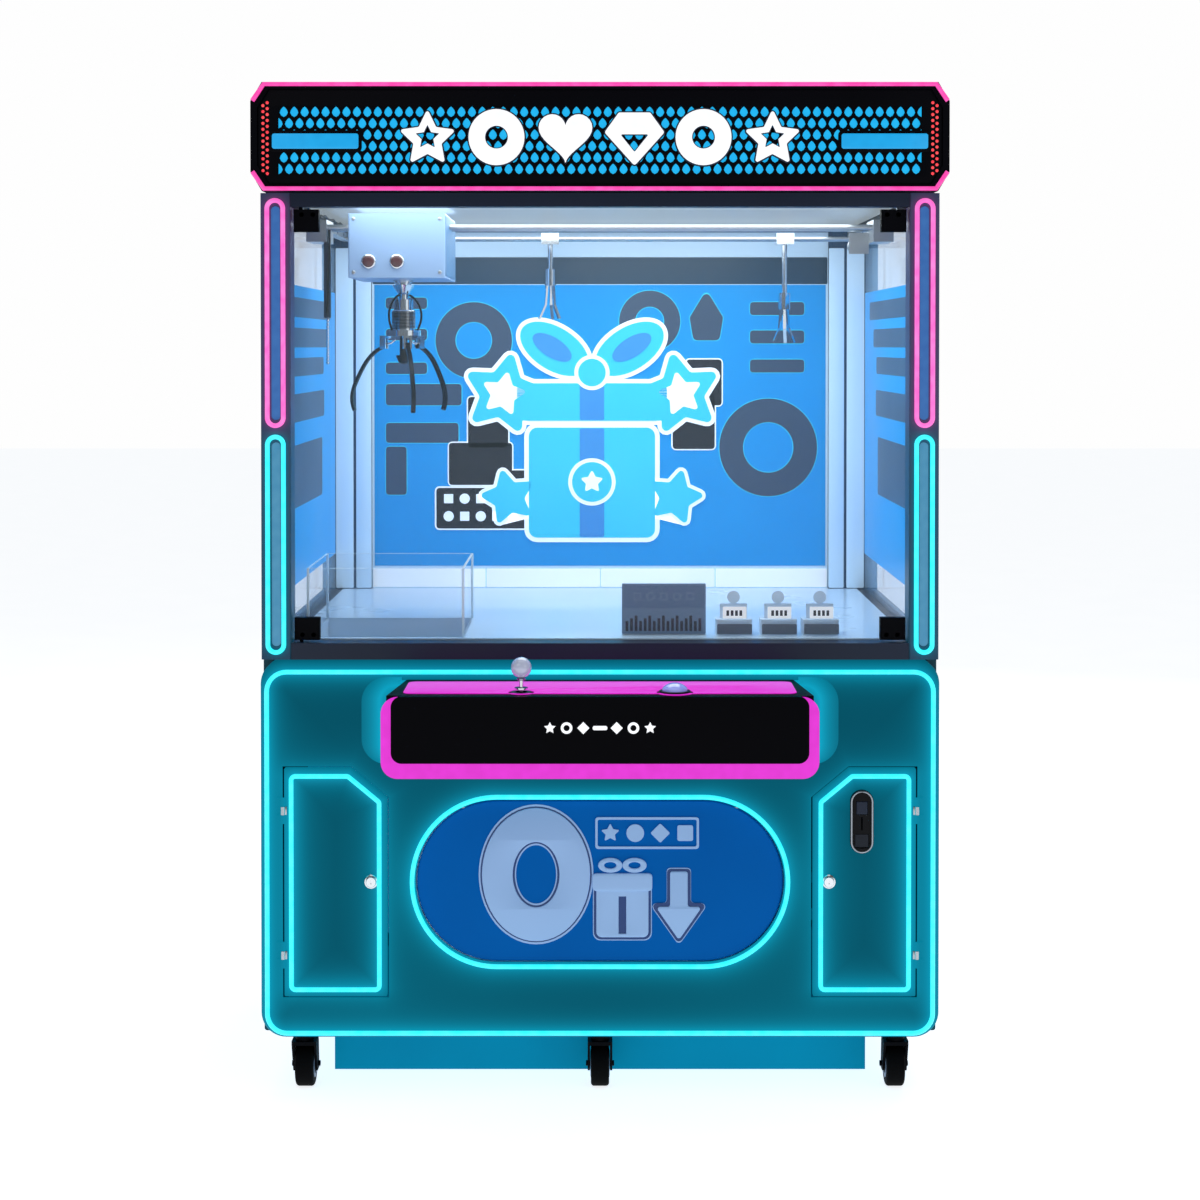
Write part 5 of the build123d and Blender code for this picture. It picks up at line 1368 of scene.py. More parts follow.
# ---- glazed cabinet ----------------------------------------------
@dataclass
class GlazedCabinet:
    """Posts with their light loops, panes, frame, back wall with its print, and the lit ceiling."""

    trees: Trees
    loop_x: float = 0.692
    loop_half_w: float = 0.017
    loop_y: float = -0.4402
    spans: tuple[Point2, Point2] = ((0.971, 1.4314), (1.4554, 1.935))
    wall_y: float = 0.635
    sheet_t: float = 0.8 * MM

    def build(self) -> None:
        """Dresses the carried-over pieces and adds the fine ones."""
        # The posts carry a painted glow along their light loops, cyan below and pink above.
        lower, upper = "#18C8DC", "#E86AC8"
        posts = PaintedGlowShell("teal anodised aluminium", "#223C58", "#2A4864", roughness=0.38, gloss=0.2,
                         grain_mm=3.0, relief_mm=0.05, reach_mm=7.0, spill=0.20, wash=0.07, lines=tuple(
                             (GlowLine((sign * self.loop_x, (low + high) / 2),
                                       (self.loop_half_w, (high - low) / 2), self.loop_half_w - 1e-4), glow)
                             for sign in (-1, 1) for (low, high), glow in zip(self.spans, (lower, upper))))
        dress_node("corner_posts", posts)
        dress_node("glass_frame", NAVY_POWDER)
        dress_node("side_glass", SIDE_GLASS)
        dress_node("glass_pane", GLASS)
        dress_node("glass_fittings", BLACK_POWDER)
        dress_node("back_wall", WALL_BLUE)
        dress_node("ceiling_light", CEILING_OPAL)
        dress_node("playfield_deck", LAMINATE_WHITE)
        dress_node("chute_guard", ACRYLIC)
        self.loops()
        self.fitting_screws()
        self.wall_lining()
        self.poster()
        self.frame_screws()

    def loops(self) -> None:
        """Cyan loops on the lower posts and pink ones above them."""
        for sign, side in SIDES:
            for (low, high), finish, level in zip(self.spans, (CYAN_TUBE, PINK_TUBE), ("lower", "upper")):
                path = rounded_polygon(
                    rectangle(sign * self.loop_x - self.loop_half_w, sign * self.loop_x + self.loop_half_w,
                              low, high), self.loop_half_w - 1e-5, 10)
                tube = self.trees.light_tube(f"{side}_{level}_loop", [(x, self.loop_y, z) for x, z in path],
                                             Body.CABINET, finish)
                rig.slot(tube, "light_tube")
                lens = stadium(0.0, 0.0, (high - low) / 2 - 0.012, 0.0094, 8)
                lens = [(sign * self.loop_x + z, (low + high) / 2 - x) for x, z in lens]
                cut_sheet(f"{side}_{level}_lens", [lens], facing_front(-0.4271), 0.004, Body.CABINET,
                          LOWER_LENS if level == "lower" else UPPER_LENS)

    def fitting_screws(self) -> None:
        """Two socket screws in each patch fitting of the front pane."""
        low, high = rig.box("glass_fittings")
        inset = (0.017, 0.041)
        points = [(x, low[1] + 0.0006, z) for x in (low[0] + inset[0], low[0] + inset[1],
                                                    high[0] - inset[0], high[0] - inset[1])
                  for z in (low[2] + 0.024, high[2] - 0.024)]
        self.trees.repeat("fitting_screws", stud(0.0062, 0.0006, (0, -1, 0), 16, 0.8), points,
                          Body.GLASS_DOOR, STEEL)

    def frame_screws(self) -> None:
        """Button-head screws on the outer faces of the posts and the rear posts."""
        low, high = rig.box("corner_posts")
        for sign, side in SIDES:
            x = high[0] * sign - sign * 0.0001
            points = [(x, y, z) for y in (low[1] + 0.032, high[1] - 0.025)
                      for z in (low[2] + 0.03, low[2] + 0.34, low[2] + 0.64, high[2] - 0.03)]
            self.trees.repeat(f"{side}_post_screws", stud(0.0056, 0.0010, (sign, 0, 0)), points,
                              Body.CABINET, ZINC)
        points = [(sign * 0.660, high[1] - 0.0010, z) for sign in (-1, 1)
                  for z in (low[2] + 0.03, low[2] + 0.34, low[2] + 0.64, high[2] - 0.03)]
        self.trees.repeat("rear_post_screws", stud(0.0056, 0.0010, (0, 1, 0)), points, Body.CABINET, ZINC)

    def wall_lining(self) -> None:
        """White lining boards under the print with their joints, the dark top band and its white edge."""
        y = self.wall_y
        joints = [(-0.594, -0.300), (-0.297, 0.000), (0.003, 0.300), (0.303, 0.594)]
        for i, (x0, x1) in enumerate(joints):
            board = soft_box(x0, x1, 0.994, 1.042, 0.003, 3)
            cut_sheet(f"lining_board_{i}", [board], facing_front(y), 0.0016, Body.CABINET, PRINT_WHITE,
                      0.0005)
        for sign, side in SIDES:
            for part, near, far in (("inner", 0.596, 0.636), ("outer", 0.643, 0.6885)):
                x0, x1 = sorted((sign * near, sign * far))
                cut_sheet(f"{side}_corner_lining_{part}",
                          [soft_box(x0, x1, 0.994, 1.880, 0.003, 3)], facing_front(0.6149),
                          0.0012, Body.CABINET, WALL_BLUE, 0.0004)
            self.side_film(side, 0.6886 if sign > 0 else -0.6898)
        self.guard_edges()
        # A dark slate band across the top of the wall.
        band = rectangle(-0.594, 0.594, 1.787, 1.857)
        cut_sheet("wall_top_band", [rounded_polygon(band, 0.003, 3)], facing_front(y), 0.0016, Body.CABINET,
                  Finish("slate blue lining", "#18384E", "#22465E", roughness=0.4, grain_mm=3.0), 0.0005)

    def side_film(self, side: str, x: float) -> None:
        """Blue print on a side pane's inner face, with five slate bars."""
        film = soft_box(-0.370, 0.604, 1.085, 1.763, 0.004, 3)
        cut_sheet(f"{side}_film", [film], facing_side(x + (0.0004 if x > 0 else 0.0)), 0.0008, Body.CABINET,
                  PRINT_BLUE)
        bars = ((1.691, 1.736, 0.50), (1.622, 1.667, 0.42), (1.556, 1.598, 0.36), (1.452, 1.516, 0.37),
                (1.258, 1.400, 0.33))
        for i, (z0, z1, back) in enumerate(bars):
            bar = soft_box(-0.330, back, z0, z1, 0.010, 4)
            cut_sheet(f"{side}_film_bar_{i}", [bar], facing_side(x), 0.0012, Body.CABINET, PRINT_SLATE)

    def guard_edges(self) -> None:
        """Pale strips on the edges of the clear guard round the prize hole: painted highlight of its polished edges.
        """
        low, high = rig.box("chute_guard")
        wall = 0.005
        outer = rectangle(low[0], high[0], low[1], high[1])
        inner = rectangle(low[0] + wall, high[0] - wall, low[1] + wall, high[1] - wall)
        # Painted highlight: pale opaque strips along the clear guard's rim and corners.
        cut_sheet("guard_rim", [outer, inner], facing_up(high[2]), 0.0006, Body.CABINET, POLISHED_EDGE_HIGHLIGHT)
        for i, (x, y) in enumerate((x, y) for x in (low[0], high[0] - wall) for y in (low[1], high[1] - wall)):
            beam(f"guard_corner_{i}", (x - 0.0003, y - 0.0003, low[2] + 0.0005),
                 (x + wall + 0.0003, y + wall + 0.0003, high[2]), Body.CABINET, POLISHED_EDGE_HIGHLIGHT, 0.0008)

    def layer(self, name: str, outlines: Sequence[Sequence[Point2]], level: int, finish: Finish) -> None:
        """Cuts one layer of the wall's print; each level lies over the one below."""
        cut_sheet(f"print_{name}", outlines, facing_front(self.wall_y), self.sheet_t * (level + 1),
                  Body.CABINET, finish)

    def edged(self, name: str, outline: Sequence[Point2], level: int, finish: Finish,
              border: Finish | None = None, width: float = 0.006) -> None:
        """Cuts a convex layer over a slightly larger one that shows as its border."""
        if border:
            self.layer(f"{name}_border", [rounded_polygon(inset_corners(outline, -width), 0.012, 4)], level,
                       border)
        self.layer(name, [rounded_polygon(outline, 0.008, 4)], level + (1 if border else 0), finish)

    def poster(self) -> None:
        """Blue print with abstract bars and rings, and a parcel with stars in the middle."""
        self.layer("ground", [rectangle(-0.590, 0.590, 1.050, 1.785)], 0, PRINT_BLUE)
        self.background()
        self.blocks()
        self.parcel()

    def background(self) -> None:
        """Slate bars, arcs and rings on both sides of the print."""
        bars = [(-0.560, -0.452, 1.722, 1.752), (-0.560, -0.452, 1.640, 1.670), (-0.560, -0.452, 1.552, 1.582),
                (0.392, 0.534, 1.706, 1.740), (0.392, 0.534, 1.632, 1.666), (0.392, 0.534, 1.556, 1.590),
                (-0.560, -0.362, 1.470, 1.526), (-0.560, -0.370, 1.372, 1.424)]
        for i, (x0, x1, z0, z1) in enumerate(bars):
            self.edged(f"bar_{i}", rectangle(x0, x1, z0, z1), 1, PRINT_SLATE, PRINT_SKY, 0.0022)
        self.edged("post", rectangle(-0.560, -0.506, 1.236, 1.362), 1, PRINT_SLATE, PRINT_SKY, 0.0022)
        for name, centre, outer, inner in (
                ("arc_left", (-0.330, 1.640), 0.100, 0.048), ("arc_right", (0.130, 1.690), 0.080, 0.038),
                ("ring_right", (0.440, 1.360), 0.128, 0.066)):
            self.layer(f"{name}_border", [circle(*centre, outer + 0.0022), circle(*centre, inner - 0.0022)],
                       1, PRINT_SKY)
            self.layer(name, [circle(*centre, outer), circle(*centre, inner)], 2, PRINT_SLATE)
        drop = [(0.278, 1.772), (0.322, 1.700), (0.312, 1.640), (0.244, 1.640), (0.234, 1.700)]
        self.layer("drop_border", [rounded_polygon(inset_corners(list(reversed(drop)), -0.0022), 0.012, 4)],
                   1, PRINT_SKY)
        self.layer("drop", [rounded_polygon(drop, 0.012, 4)], 2, PRINT_SLATE)

    def blocks(self) -> None:
        """Black blocks with white edges behind the parcel, and a box of marks at its foot."""
        blocks = [(-0.345, -0.240, 1.360, 1.492), (-0.395, -0.230, 1.262, 1.372), (0.190, 0.300, 1.356, 1.500),
                  (0.226, 0.318, 1.470, 1.590), (-0.235, -0.150, 1.150, 1.300)]
        for i, (x0, x1, z0, z1) in enumerate(blocks):
            self.edged(f"block_{i}", rectangle(x0, x1, z0, z1), 3, PRINT_BLACK, PRINT_WHITE, 0.0034)
        self.edged("label", rectangle(-0.428, -0.156, 1.148, 1.254), 4, PRINT_BLACK, PRINT_WHITE, 0.0042)
        for row, z in enumerate((1.226, 1.180)):
            for i in range(5):
                x = -0.396 + i * 0.042
                shape = circle(x, z, 0.0135, 20) if (i + row) % 2 else rectangle(
                    x - 0.012, x + 0.012, z - 0.012, z + 0.012)
                self.layer(f"label_mark_{row}_{i}", [shape], 6, PRINT_WHITE)
        self.layer("label_rule", [rectangle(-0.194, -0.188, 1.156, 1.246)], 6, PRINT_WHITE)

    def star(self, x: float, z: float, radius: float, tilt: float = 0.0) -> list[Point2]:
        """Outline of a soft five-pointed star."""
        points = [(x + a, z + b) for a, b in star_points(radius, 0.52, tilt)]
        return rounded_polygon(points, radius * 0.10, 4)

    def loop(self, x: float, z: float, long: float, short: float, tilt: float) -> list[Point2]:
        """Outline of a bow's loop: an oval that leans by the tilt."""
        lean = math.radians(tilt)
        return [(x + long * math.cos(a) * math.cos(lean) - short * math.sin(a) * math.sin(lean),
                 z + long * math.cos(a) * math.sin(lean) + short * math.sin(a) * math.cos(lean))
                for a in turns(40)]

    def parcel(self) -> None:
        """Tied parcel with a bow, standing stars on both sides and a round seal."""
        sky_dark = Finish("printed deep sky vinyl", "#2F8FDC", "#47A4EA", roughness=0.34, grain_mm=2.5,
                          relief_mm=0.01)
        lift, cx = 7, -0.021
        shapes: list[tuple[str, list[Point2], float]] = [
            ("body", soft_box(cx - 0.165, cx + 0.165, 1.124, 1.412, 0.022, 6), 0.012),
            ("lid", soft_box(cx - 0.196, cx + 0.196, 1.430, 1.528, 0.018, 6), 0.011),
        ]
        for sign, side in SIDES:
            bow = self.loop(cx + sign * 0.098, 1.618, 0.100, 0.056, sign * 32)
            shapes.append((f"bow_{side}", bow, 0.011))
            shapes.append((f"star_{side}", self.star(cx + sign * 0.232, 1.500, 0.118, sign * 12), 0.011))
            shapes.append((f"small_star_{side}", self.star(cx + sign * 0.218, 1.230, 0.080, -sign * 14), 0.009))
        for name, outline, width in shapes:
            self.layer(f"{name}_edge", [grown(outline, width)], lift - 1, PRINT_WHITE)
            self.layer(name, [outline], lift + (1 if name == "lid" else 0), PRINT_SKY)
        for sign, side in SIDES:
            hole = self.loop(cx + sign * 0.104, 1.622, 0.058, 0.026, sign * 32)
            self.layer(f"bow_hole_{side}", [hole], lift + 2, sky_dark)
            self.layer(f"star_heart_{side}", [self.star(cx + sign * 0.232, 1.500, 0.064, sign * 12)],
                       lift + 1, PRINT_WHITE)
        for name, z0, z1 in (("body", 1.126, 1.410), ("lid", 1.432, 1.526)):
            self.layer(f"ribbon_{name}", [soft_box(cx - 0.032, cx + 0.032, z0, z1, 0.004, 3)],
                       lift + 2, sky_dark)
        self.layer("knot", [circle(cx, 1.556, 0.046)], lift + 3, PRINT_WHITE)
        self.layer("knot_face", [circle(cx, 1.556, 0.036)], lift + 4, PRINT_SKY)
        self.layer("seal", [circle(cx, 1.270, 0.062)], lift + 3, PRINT_WHITE)
        self.layer("seal_face", [circle(cx, 1.270, 0.052)], lift + 4, PRINT_SKY)
        self.layer("seal_star", [self.star(cx, 1.270, 0.032)], lift + 5, PRINT_WHITE)


def grown(outline: Sequence[Point2], width: float) -> list[Point2]:
    """Moves a smooth outline outwards by pushing each point along its normal."""
    count = len(outline)
    area = sum(outline[i - 1][0] * outline[i][1] - outline[i][0] * outline[i - 1][1] for i in range(count))
    side = 1 if area > 0 else -1
    points: list[Point2] = []
    for i in range(count):
        before, after = Vector(outline[i - 1]), Vector(outline[(i + 1) % count])
        along = (after - before).normalized()
        points.append((outline[i][0] + side * along.y * width, outline[i][1] - side * along.x * width))
    return points


# ---- sign box ----------------------------------------------------
@dataclass
class SignBox:
    """Black sign box: a pierced sheet over a lit diffuser, light bars, emblems and rows of red diodes."""

    trees: Trees
    face_y: float = -0.488
    half_w: float = 0.700
    low: float = 1.985
    high: float = 2.131
    cell_w: float = 0.0220
    cell_h: float = 0.0120
    hole: tuple[float, float] = (0.0178, 0.0228)

    def build(self) -> None:
        """Builds the whole sign."""
        dress_node("canopy_shell", BLACK_POWDER)
        self.diffuser()
        self.pierced_sheet()
        self.bars()
        self.emblems()
        self.diodes()
        self.tubes()
        self.rivets()

    def diffuser(self) -> None:
        """Lit opal sheet behind the pierced one."""
        outline = rounded_polygon(rectangle(-self.half_w - 0.012, self.half_w + 0.012, self.low - 0.006,
                                            self.high + 0.006), 0.01, 4)
        sheet = cut_sheet("sign_diffuser", [outline], facing_front(self.face_y + 0.003), 0.0012,
                          Body.CABINET, SIGN_OPAL)
        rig.slot(sheet, "sign_black")
        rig.replaces(sheet, "sign_panel")

    def cell(self) -> Piece:
        """One cell of the pierced sheet with a drop-shaped hole, around the origin."""
        w, h = self.cell_w / 2, self.cell_h
        hole_w, hole_h = self.hole[0] / 2, self.hole[1] / 2
        ring = [(0.0, -1.0), (0.62, -0.72), (1.0, -0.18), (0.80, 0.34), (0.36, 0.78), (0.0, 1.0),
                (-0.36, 0.78), (-0.80, 0.34), (-1.0, -0.18), (-0.62, -0.72)]
        rim = [(0.0, -h), (w, -h), (w, -h * 0.2), (w, h * 0.35), (w, h), (0.0, h), (-w, h),
               (-w, h * 0.35), (-w, -h * 0.2), (-w, -h)]
        shape = bmesh.new()
        outer = [shape.verts.new((x, -0.0010, z)) for x, z in rim]
        front = [shape.verts.new((x * hole_w, -0.0010, z * hole_h)) for x, z in ring]
        back = [shape.verts.new((x * hole_w * 0.96, 0.0004, z * hole_h * 0.96)) for x, z in ring]
        for i in range(10):
            j = (i + 1) % 10
            shape.faces.new((outer[i], outer[j], front[j], front[i]))
            shape.faces.new((front[i], front[j], back[j], back[i]))
        return object_from("sign_cell", shape, turn_out=False)

    def pierced_sheet(self) -> None:
        """Staggered rows of drop-shaped holes over the whole sign."""
        columns = 62
        pairs = int((self.high - self.low) // (self.cell_h * 4))
        cell = self.cell()
        seed = object_from("sign_seed", bmesh.new())
        sheet = grow("sign_pierced_sheet", seed, self.trees.perforation, {
            "Cell": cell, "Columns": columns, "Row pairs": pairs, "Pitch": self.cell_w,
            "Row height": self.cell_h * 2, "Material": BLACK_POWDER.material()})
        bpy.data.objects.remove(cell)
        sheet.data.transform(Matrix.Translation((0, self.face_y - 0.0010, (self.low + self.high) / 2)))
        welded = bmesh.new()
        welded.from_mesh(sheet.data)
        bmesh.ops.remove_doubles(welded, verts=welded.verts[:], dist=1e-5)
        welded.to_mesh(sheet.data)
        welded.free()
        finish_piece(sheet, Body.CABINET)
        half = columns * self.cell_w / 2 - self.cell_w / 4
        rise = pairs * self.cell_h * 2
        middle = (self.low + self.high) / 2
        x, z0, z1 = 0.7200, 1.9662, 2.1648
        corners = [(x - 0.020, z0), (x, z0 + 0.034), (x, z1 - 0.034), (x - 0.020, z1), (0.020 - x, z1),
                   (-x, z1 - 0.034), (-x, z0 + 0.034), (0.020 - x, z0)]
        frame = [rounded_polygon(corners, 0.008, 4),
                 rectangle(-half, half, middle - rise + 0.001, middle + rise - 0.001)]
        cut_sheet("sign_sheet_frame", frame, facing_front(self.face_y - 0.0005), 0.0022, Body.CABINET,
                  BLACK_POWDER, 0.0006)

    def bars(self) -> None:
        """Blue light bars on both ends of the sign."""
        for sign, side in SIDES:
            x0, x1 = sorted((sign * 0.508, sign * 0.690))
            outer = soft_box(x0 - 0.007, x1 + 0.007, 2.033, 2.079, 0.010, 5)
            cut_sheet(f"{side}_bar_bezel", [outer], facing_front(self.face_y - 0.0012), 0.0028, Body.CABINET,
                      BLACK_POWDER, 0.001)
            bar = soft_box(x0, x1, 2.040, 2.072, 0.005, 5)
            cut_sheet(f"{side}_light_bar", [bar], facing_front(self.face_y - 0.0034), 0.0030, Body.CABINET,
                      BAR_OPAL, 0.001)

    def outlines(self) -> dict[str, list[list[Point2]]]:
        """Outlines of the four kinds of emblem, round the origin, in metres."""
        r = 0.060
        star = [(x, z - 0.004) for x, z in star_points(r, 0.52, outer=1.05)]
        small = [(x * 0.42, z * 0.42 + 0.0015) for x, z in star]
        heart: list[Point2] = []
        for t in turns(48):
            heart.append((r / 17 * 16 * math.sin(t) ** 3,
                          r / 17 * (13 * math.cos(t) - 5 * math.cos(2 * t) - 2 * math.cos(3 * t)
                                    - math.cos(4 * t)) + 0.006))
        gem = [(0.0, -r), (r * 1.05, 0.010), (r * 0.55, r * 0.86), (-r * 0.55, r * 0.86), (-r * 1.05, 0.010)]
        facet = [(0.0, -r * 0.52), (r * 0.50, 0.006), (-r * 0.50, 0.006)]
        return {
            "star": [rounded_polygon(star, 0.004, 4), rounded_polygon(small, 0.001, 3)],
            "ring": [circle(0, 0, r * 0.98), circle(0, 0, r * 0.40)],
            "heart": [heart],
            "gem": [rounded_polygon(gem, 0.005, 4), rounded_polygon(facet, 0.002, 3)],
        }

    def emblems(self) -> None:
        """White lit emblems on black returns, in a row across the middle."""
        shapes = self.outlines()
        middle = (self.low + self.high) / 2 + 0.006
        for i, kind in enumerate(("star", "ring", "heart", "gem", "ring", "star")):
            x = -0.3625 + i * 0.145
            lines = [[(x + a, middle + b) for a, b in line] for line in shapes[kind]]
            back = [grown(lines[0], 0.003)] + [grown(line, -0.002) for line in lines[1:]]
            cut_sheet(f"emblem_{i}_return", back, facing_front(self.face_y - 0.0012), 0.0055, Body.CABINET,
                      NAVY_POWDER)
            cut_sheet(f"emblem_{i}_face", lines, facing_front(self.face_y - 0.0062), 0.0055, Body.CABINET,
                      WHITE_ACRYLIC, 0.0012)

    def diodes(self) -> None:
        """Two rows of red diodes up each end of the sign."""
        for sign, side in SIDES:
            points = [(sign * (0.7000 + 0.0090 * (i % 2)), self.face_y - 0.0026, 1.988 + i * 0.0062)
                      for i in range(25)]
            self.trees.repeat(f"{side}_diodes", stud(0.0034, 0.0018, (0, -1, 0), 8, 0.5), points,
                              Body.CABINET, RED_DIODE)

    def tubes(self) -> None:
        """Magenta light tubes along the top and bottom edges of the box, turned round its corners."""
        for level, z in (("top", 2.175), ("bottom", 1.956)):
            path = self.tube_path(z)
            tube = self.trees.light_tube(f"sign_{level}_tube", path, Body.CABINET, MAGENTA_TUBE,
                                         closed=False)
            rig.slot(tube, "light_tube")

    def tube_path(self, z: float) -> list[Point3]:
        """Loop of one tube: along the front edge, with short legs up or down the chamfered ends."""
        y, half, leg = -0.5002, 0.730, 0.035
        sign = -1 if z > 2.1 else 1
        corners = [(-half, z + sign * leg), (-half + 0.024, z), (half - 0.024, z), (half, z + sign * leg)]
        return [(x, y, h) for x, h in corners]

    def rivets(self) -> None:
        """Rivets on the roof of the box."""
        low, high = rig.box("canopy_shell")
        roof = [(x, y, high[2] - 0.0011) for x in (low[0] + 0.05, -0.35, 0.0, 0.35, high[0] - 0.05)
                for y in (low[1] + 0.06, high[1] - 0.04)]
        self.trees.repeat("roof_rivets", stud(0.005, 0.0011, (0, 0, 1)), roof, Body.CABINET, ZINC)


# ---- console -----------------------------------------------------
@dataclass
class Console:
    """Black console with lit magenta edges, a joystick and a domed button."""

    trees: Trees
    face_y: float = -0.665
    joystick: Point2 = (-0.162, -0.613)
    button: Point2 = (0.154, -0.613)
    ball_r: float = 0.021

    def build(self) -> None:
        """Dresses the console and adds its marks, lit panel and small parts."""
        dress_node("console_housing", BLACK_POWDER)
        dress_node("console_trim", CONSOLE_OPAL)
        dress_node("console_glass", BLACK_ACRYLIC)
        # The cowl carries a painted cyan glow round the console, along a line where no tube lies.
        dress_node("console_cowl", PaintedGlowShell(
            "teal gel coat of the cowl", "#01303F", "#023A4A", roughness=0.42, coat=0.0, gloss=0.03,
            grain_mm=26.0, relief_mm=0.25, reach_mm=34.0, spill=0.55,
            lines=((GlowLine((0.0, 0.824), (0.470, 0.082), 0.04), "#10B8DC"),)))
        dress_node("control_mounts", BLACK_MOULDED)
        dress_node("joystick_gimbal", BLACK_MOULDED)
        dress_node("joystick_stick", CHROME)
        dress_node("drop_button", LILAC)
        self.lit_top()
        self.marks()
        self.ball()
        self.screws()

    def lit_top(self) -> None:
        """Magenta lit strip on the back part of the top plate, behind a black edge."""
        _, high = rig.box("console_housing")
        front = [(-0.405, -0.628), (0.405, -0.628), (0.405, -0.470), (-0.405, -0.470)]
        outline = rounded_polygon(front, 0.018, 6)
        hole_a = circle(*self.joystick, 0.027, 40)
        hole_b = circle(*self.button, 0.038, 40)
        panel = cut_sheet("console_lit_panel", [outline, hole_a, hole_b], facing_up(high[2]), 0.0016,
                          Body.CABINET, CONSOLE_OPAL, 0.0005)
        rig.slot(panel, "magenta_trim")

    def marks(self) -> None:
        """Row of small white marks on the console's face."""
        y, z, r = self.face_y + 0.00036, 0.848, 0.0125
        shapes = {
            "star": [star_points(r, 0.5)],
            "ring": [circle(0, 0, r * 0.95, 32), circle(0, 0, r * 0.5, 32)],
            "bar": [soft_box(-r * 1.2, r * 1.2, -r * 0.35, r * 0.35, r * 0.3, 4)],
            "gem": [[(r, 0.0), (0.0, r), (-r, 0.0), (0.0, -r)]],
        }
        for i, kind in enumerate(("star", "ring", "gem", "bar", "gem", "ring", "star")):
            x = (i - 3) * 0.034
            lines = [[(x + a, z + b) for a, b in line] for line in shapes[kind]]
            cut_sheet(f"console_mark_{i}", lines, facing_front(y + 0.0002), 0.0006, Body.CABINET,
                      WHITE_ACRYLIC)

    def ball(self) -> None:
        """Pearl ball over the stick's end, with a steel collar under it."""
        _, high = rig.box("joystick_stick")
        r = self.ball_r
        centre = Vector((*self.joystick, high[2] - r))
        profile = [(r * math.sin(math.pi * i / 22), r - r * math.cos(math.pi * i / 22)) for i in range(23)]
        ball = turned("joystick_ball", profile, Matrix.Translation(centre - Vector((0, 0, r - 0.0001))),
                      Body.STICK, CLEAR_BALL, 40)
        for vert in ball.data.vertices:
            offset = vert.co - centre
            vert.co = centre + offset * 1.0105
        profile = [(0.0050, 0.0), (0.0085, 0.0012), (0.0090, 0.0045), (0.0065, 0.0068), (0.0050, 0.0072)]
        turned("joystick_collar", profile, Matrix.Translation(centre - Vector((0, 0, 0.0270))), Body.STICK,
               STEEL, 32)

    def screws(self) -> None:
        """Screws under the console's lip."""
        low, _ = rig.box("console_housing")
        points = [(x, -0.60, low[2] + 0.0010) for x in (-0.36, -0.12, 0.12, 0.36)]
        self.trees.repeat("console_tray_screws", stud(0.005, 0.0010, (0, 0, -1)), points, Body.CABINET, ZINC)


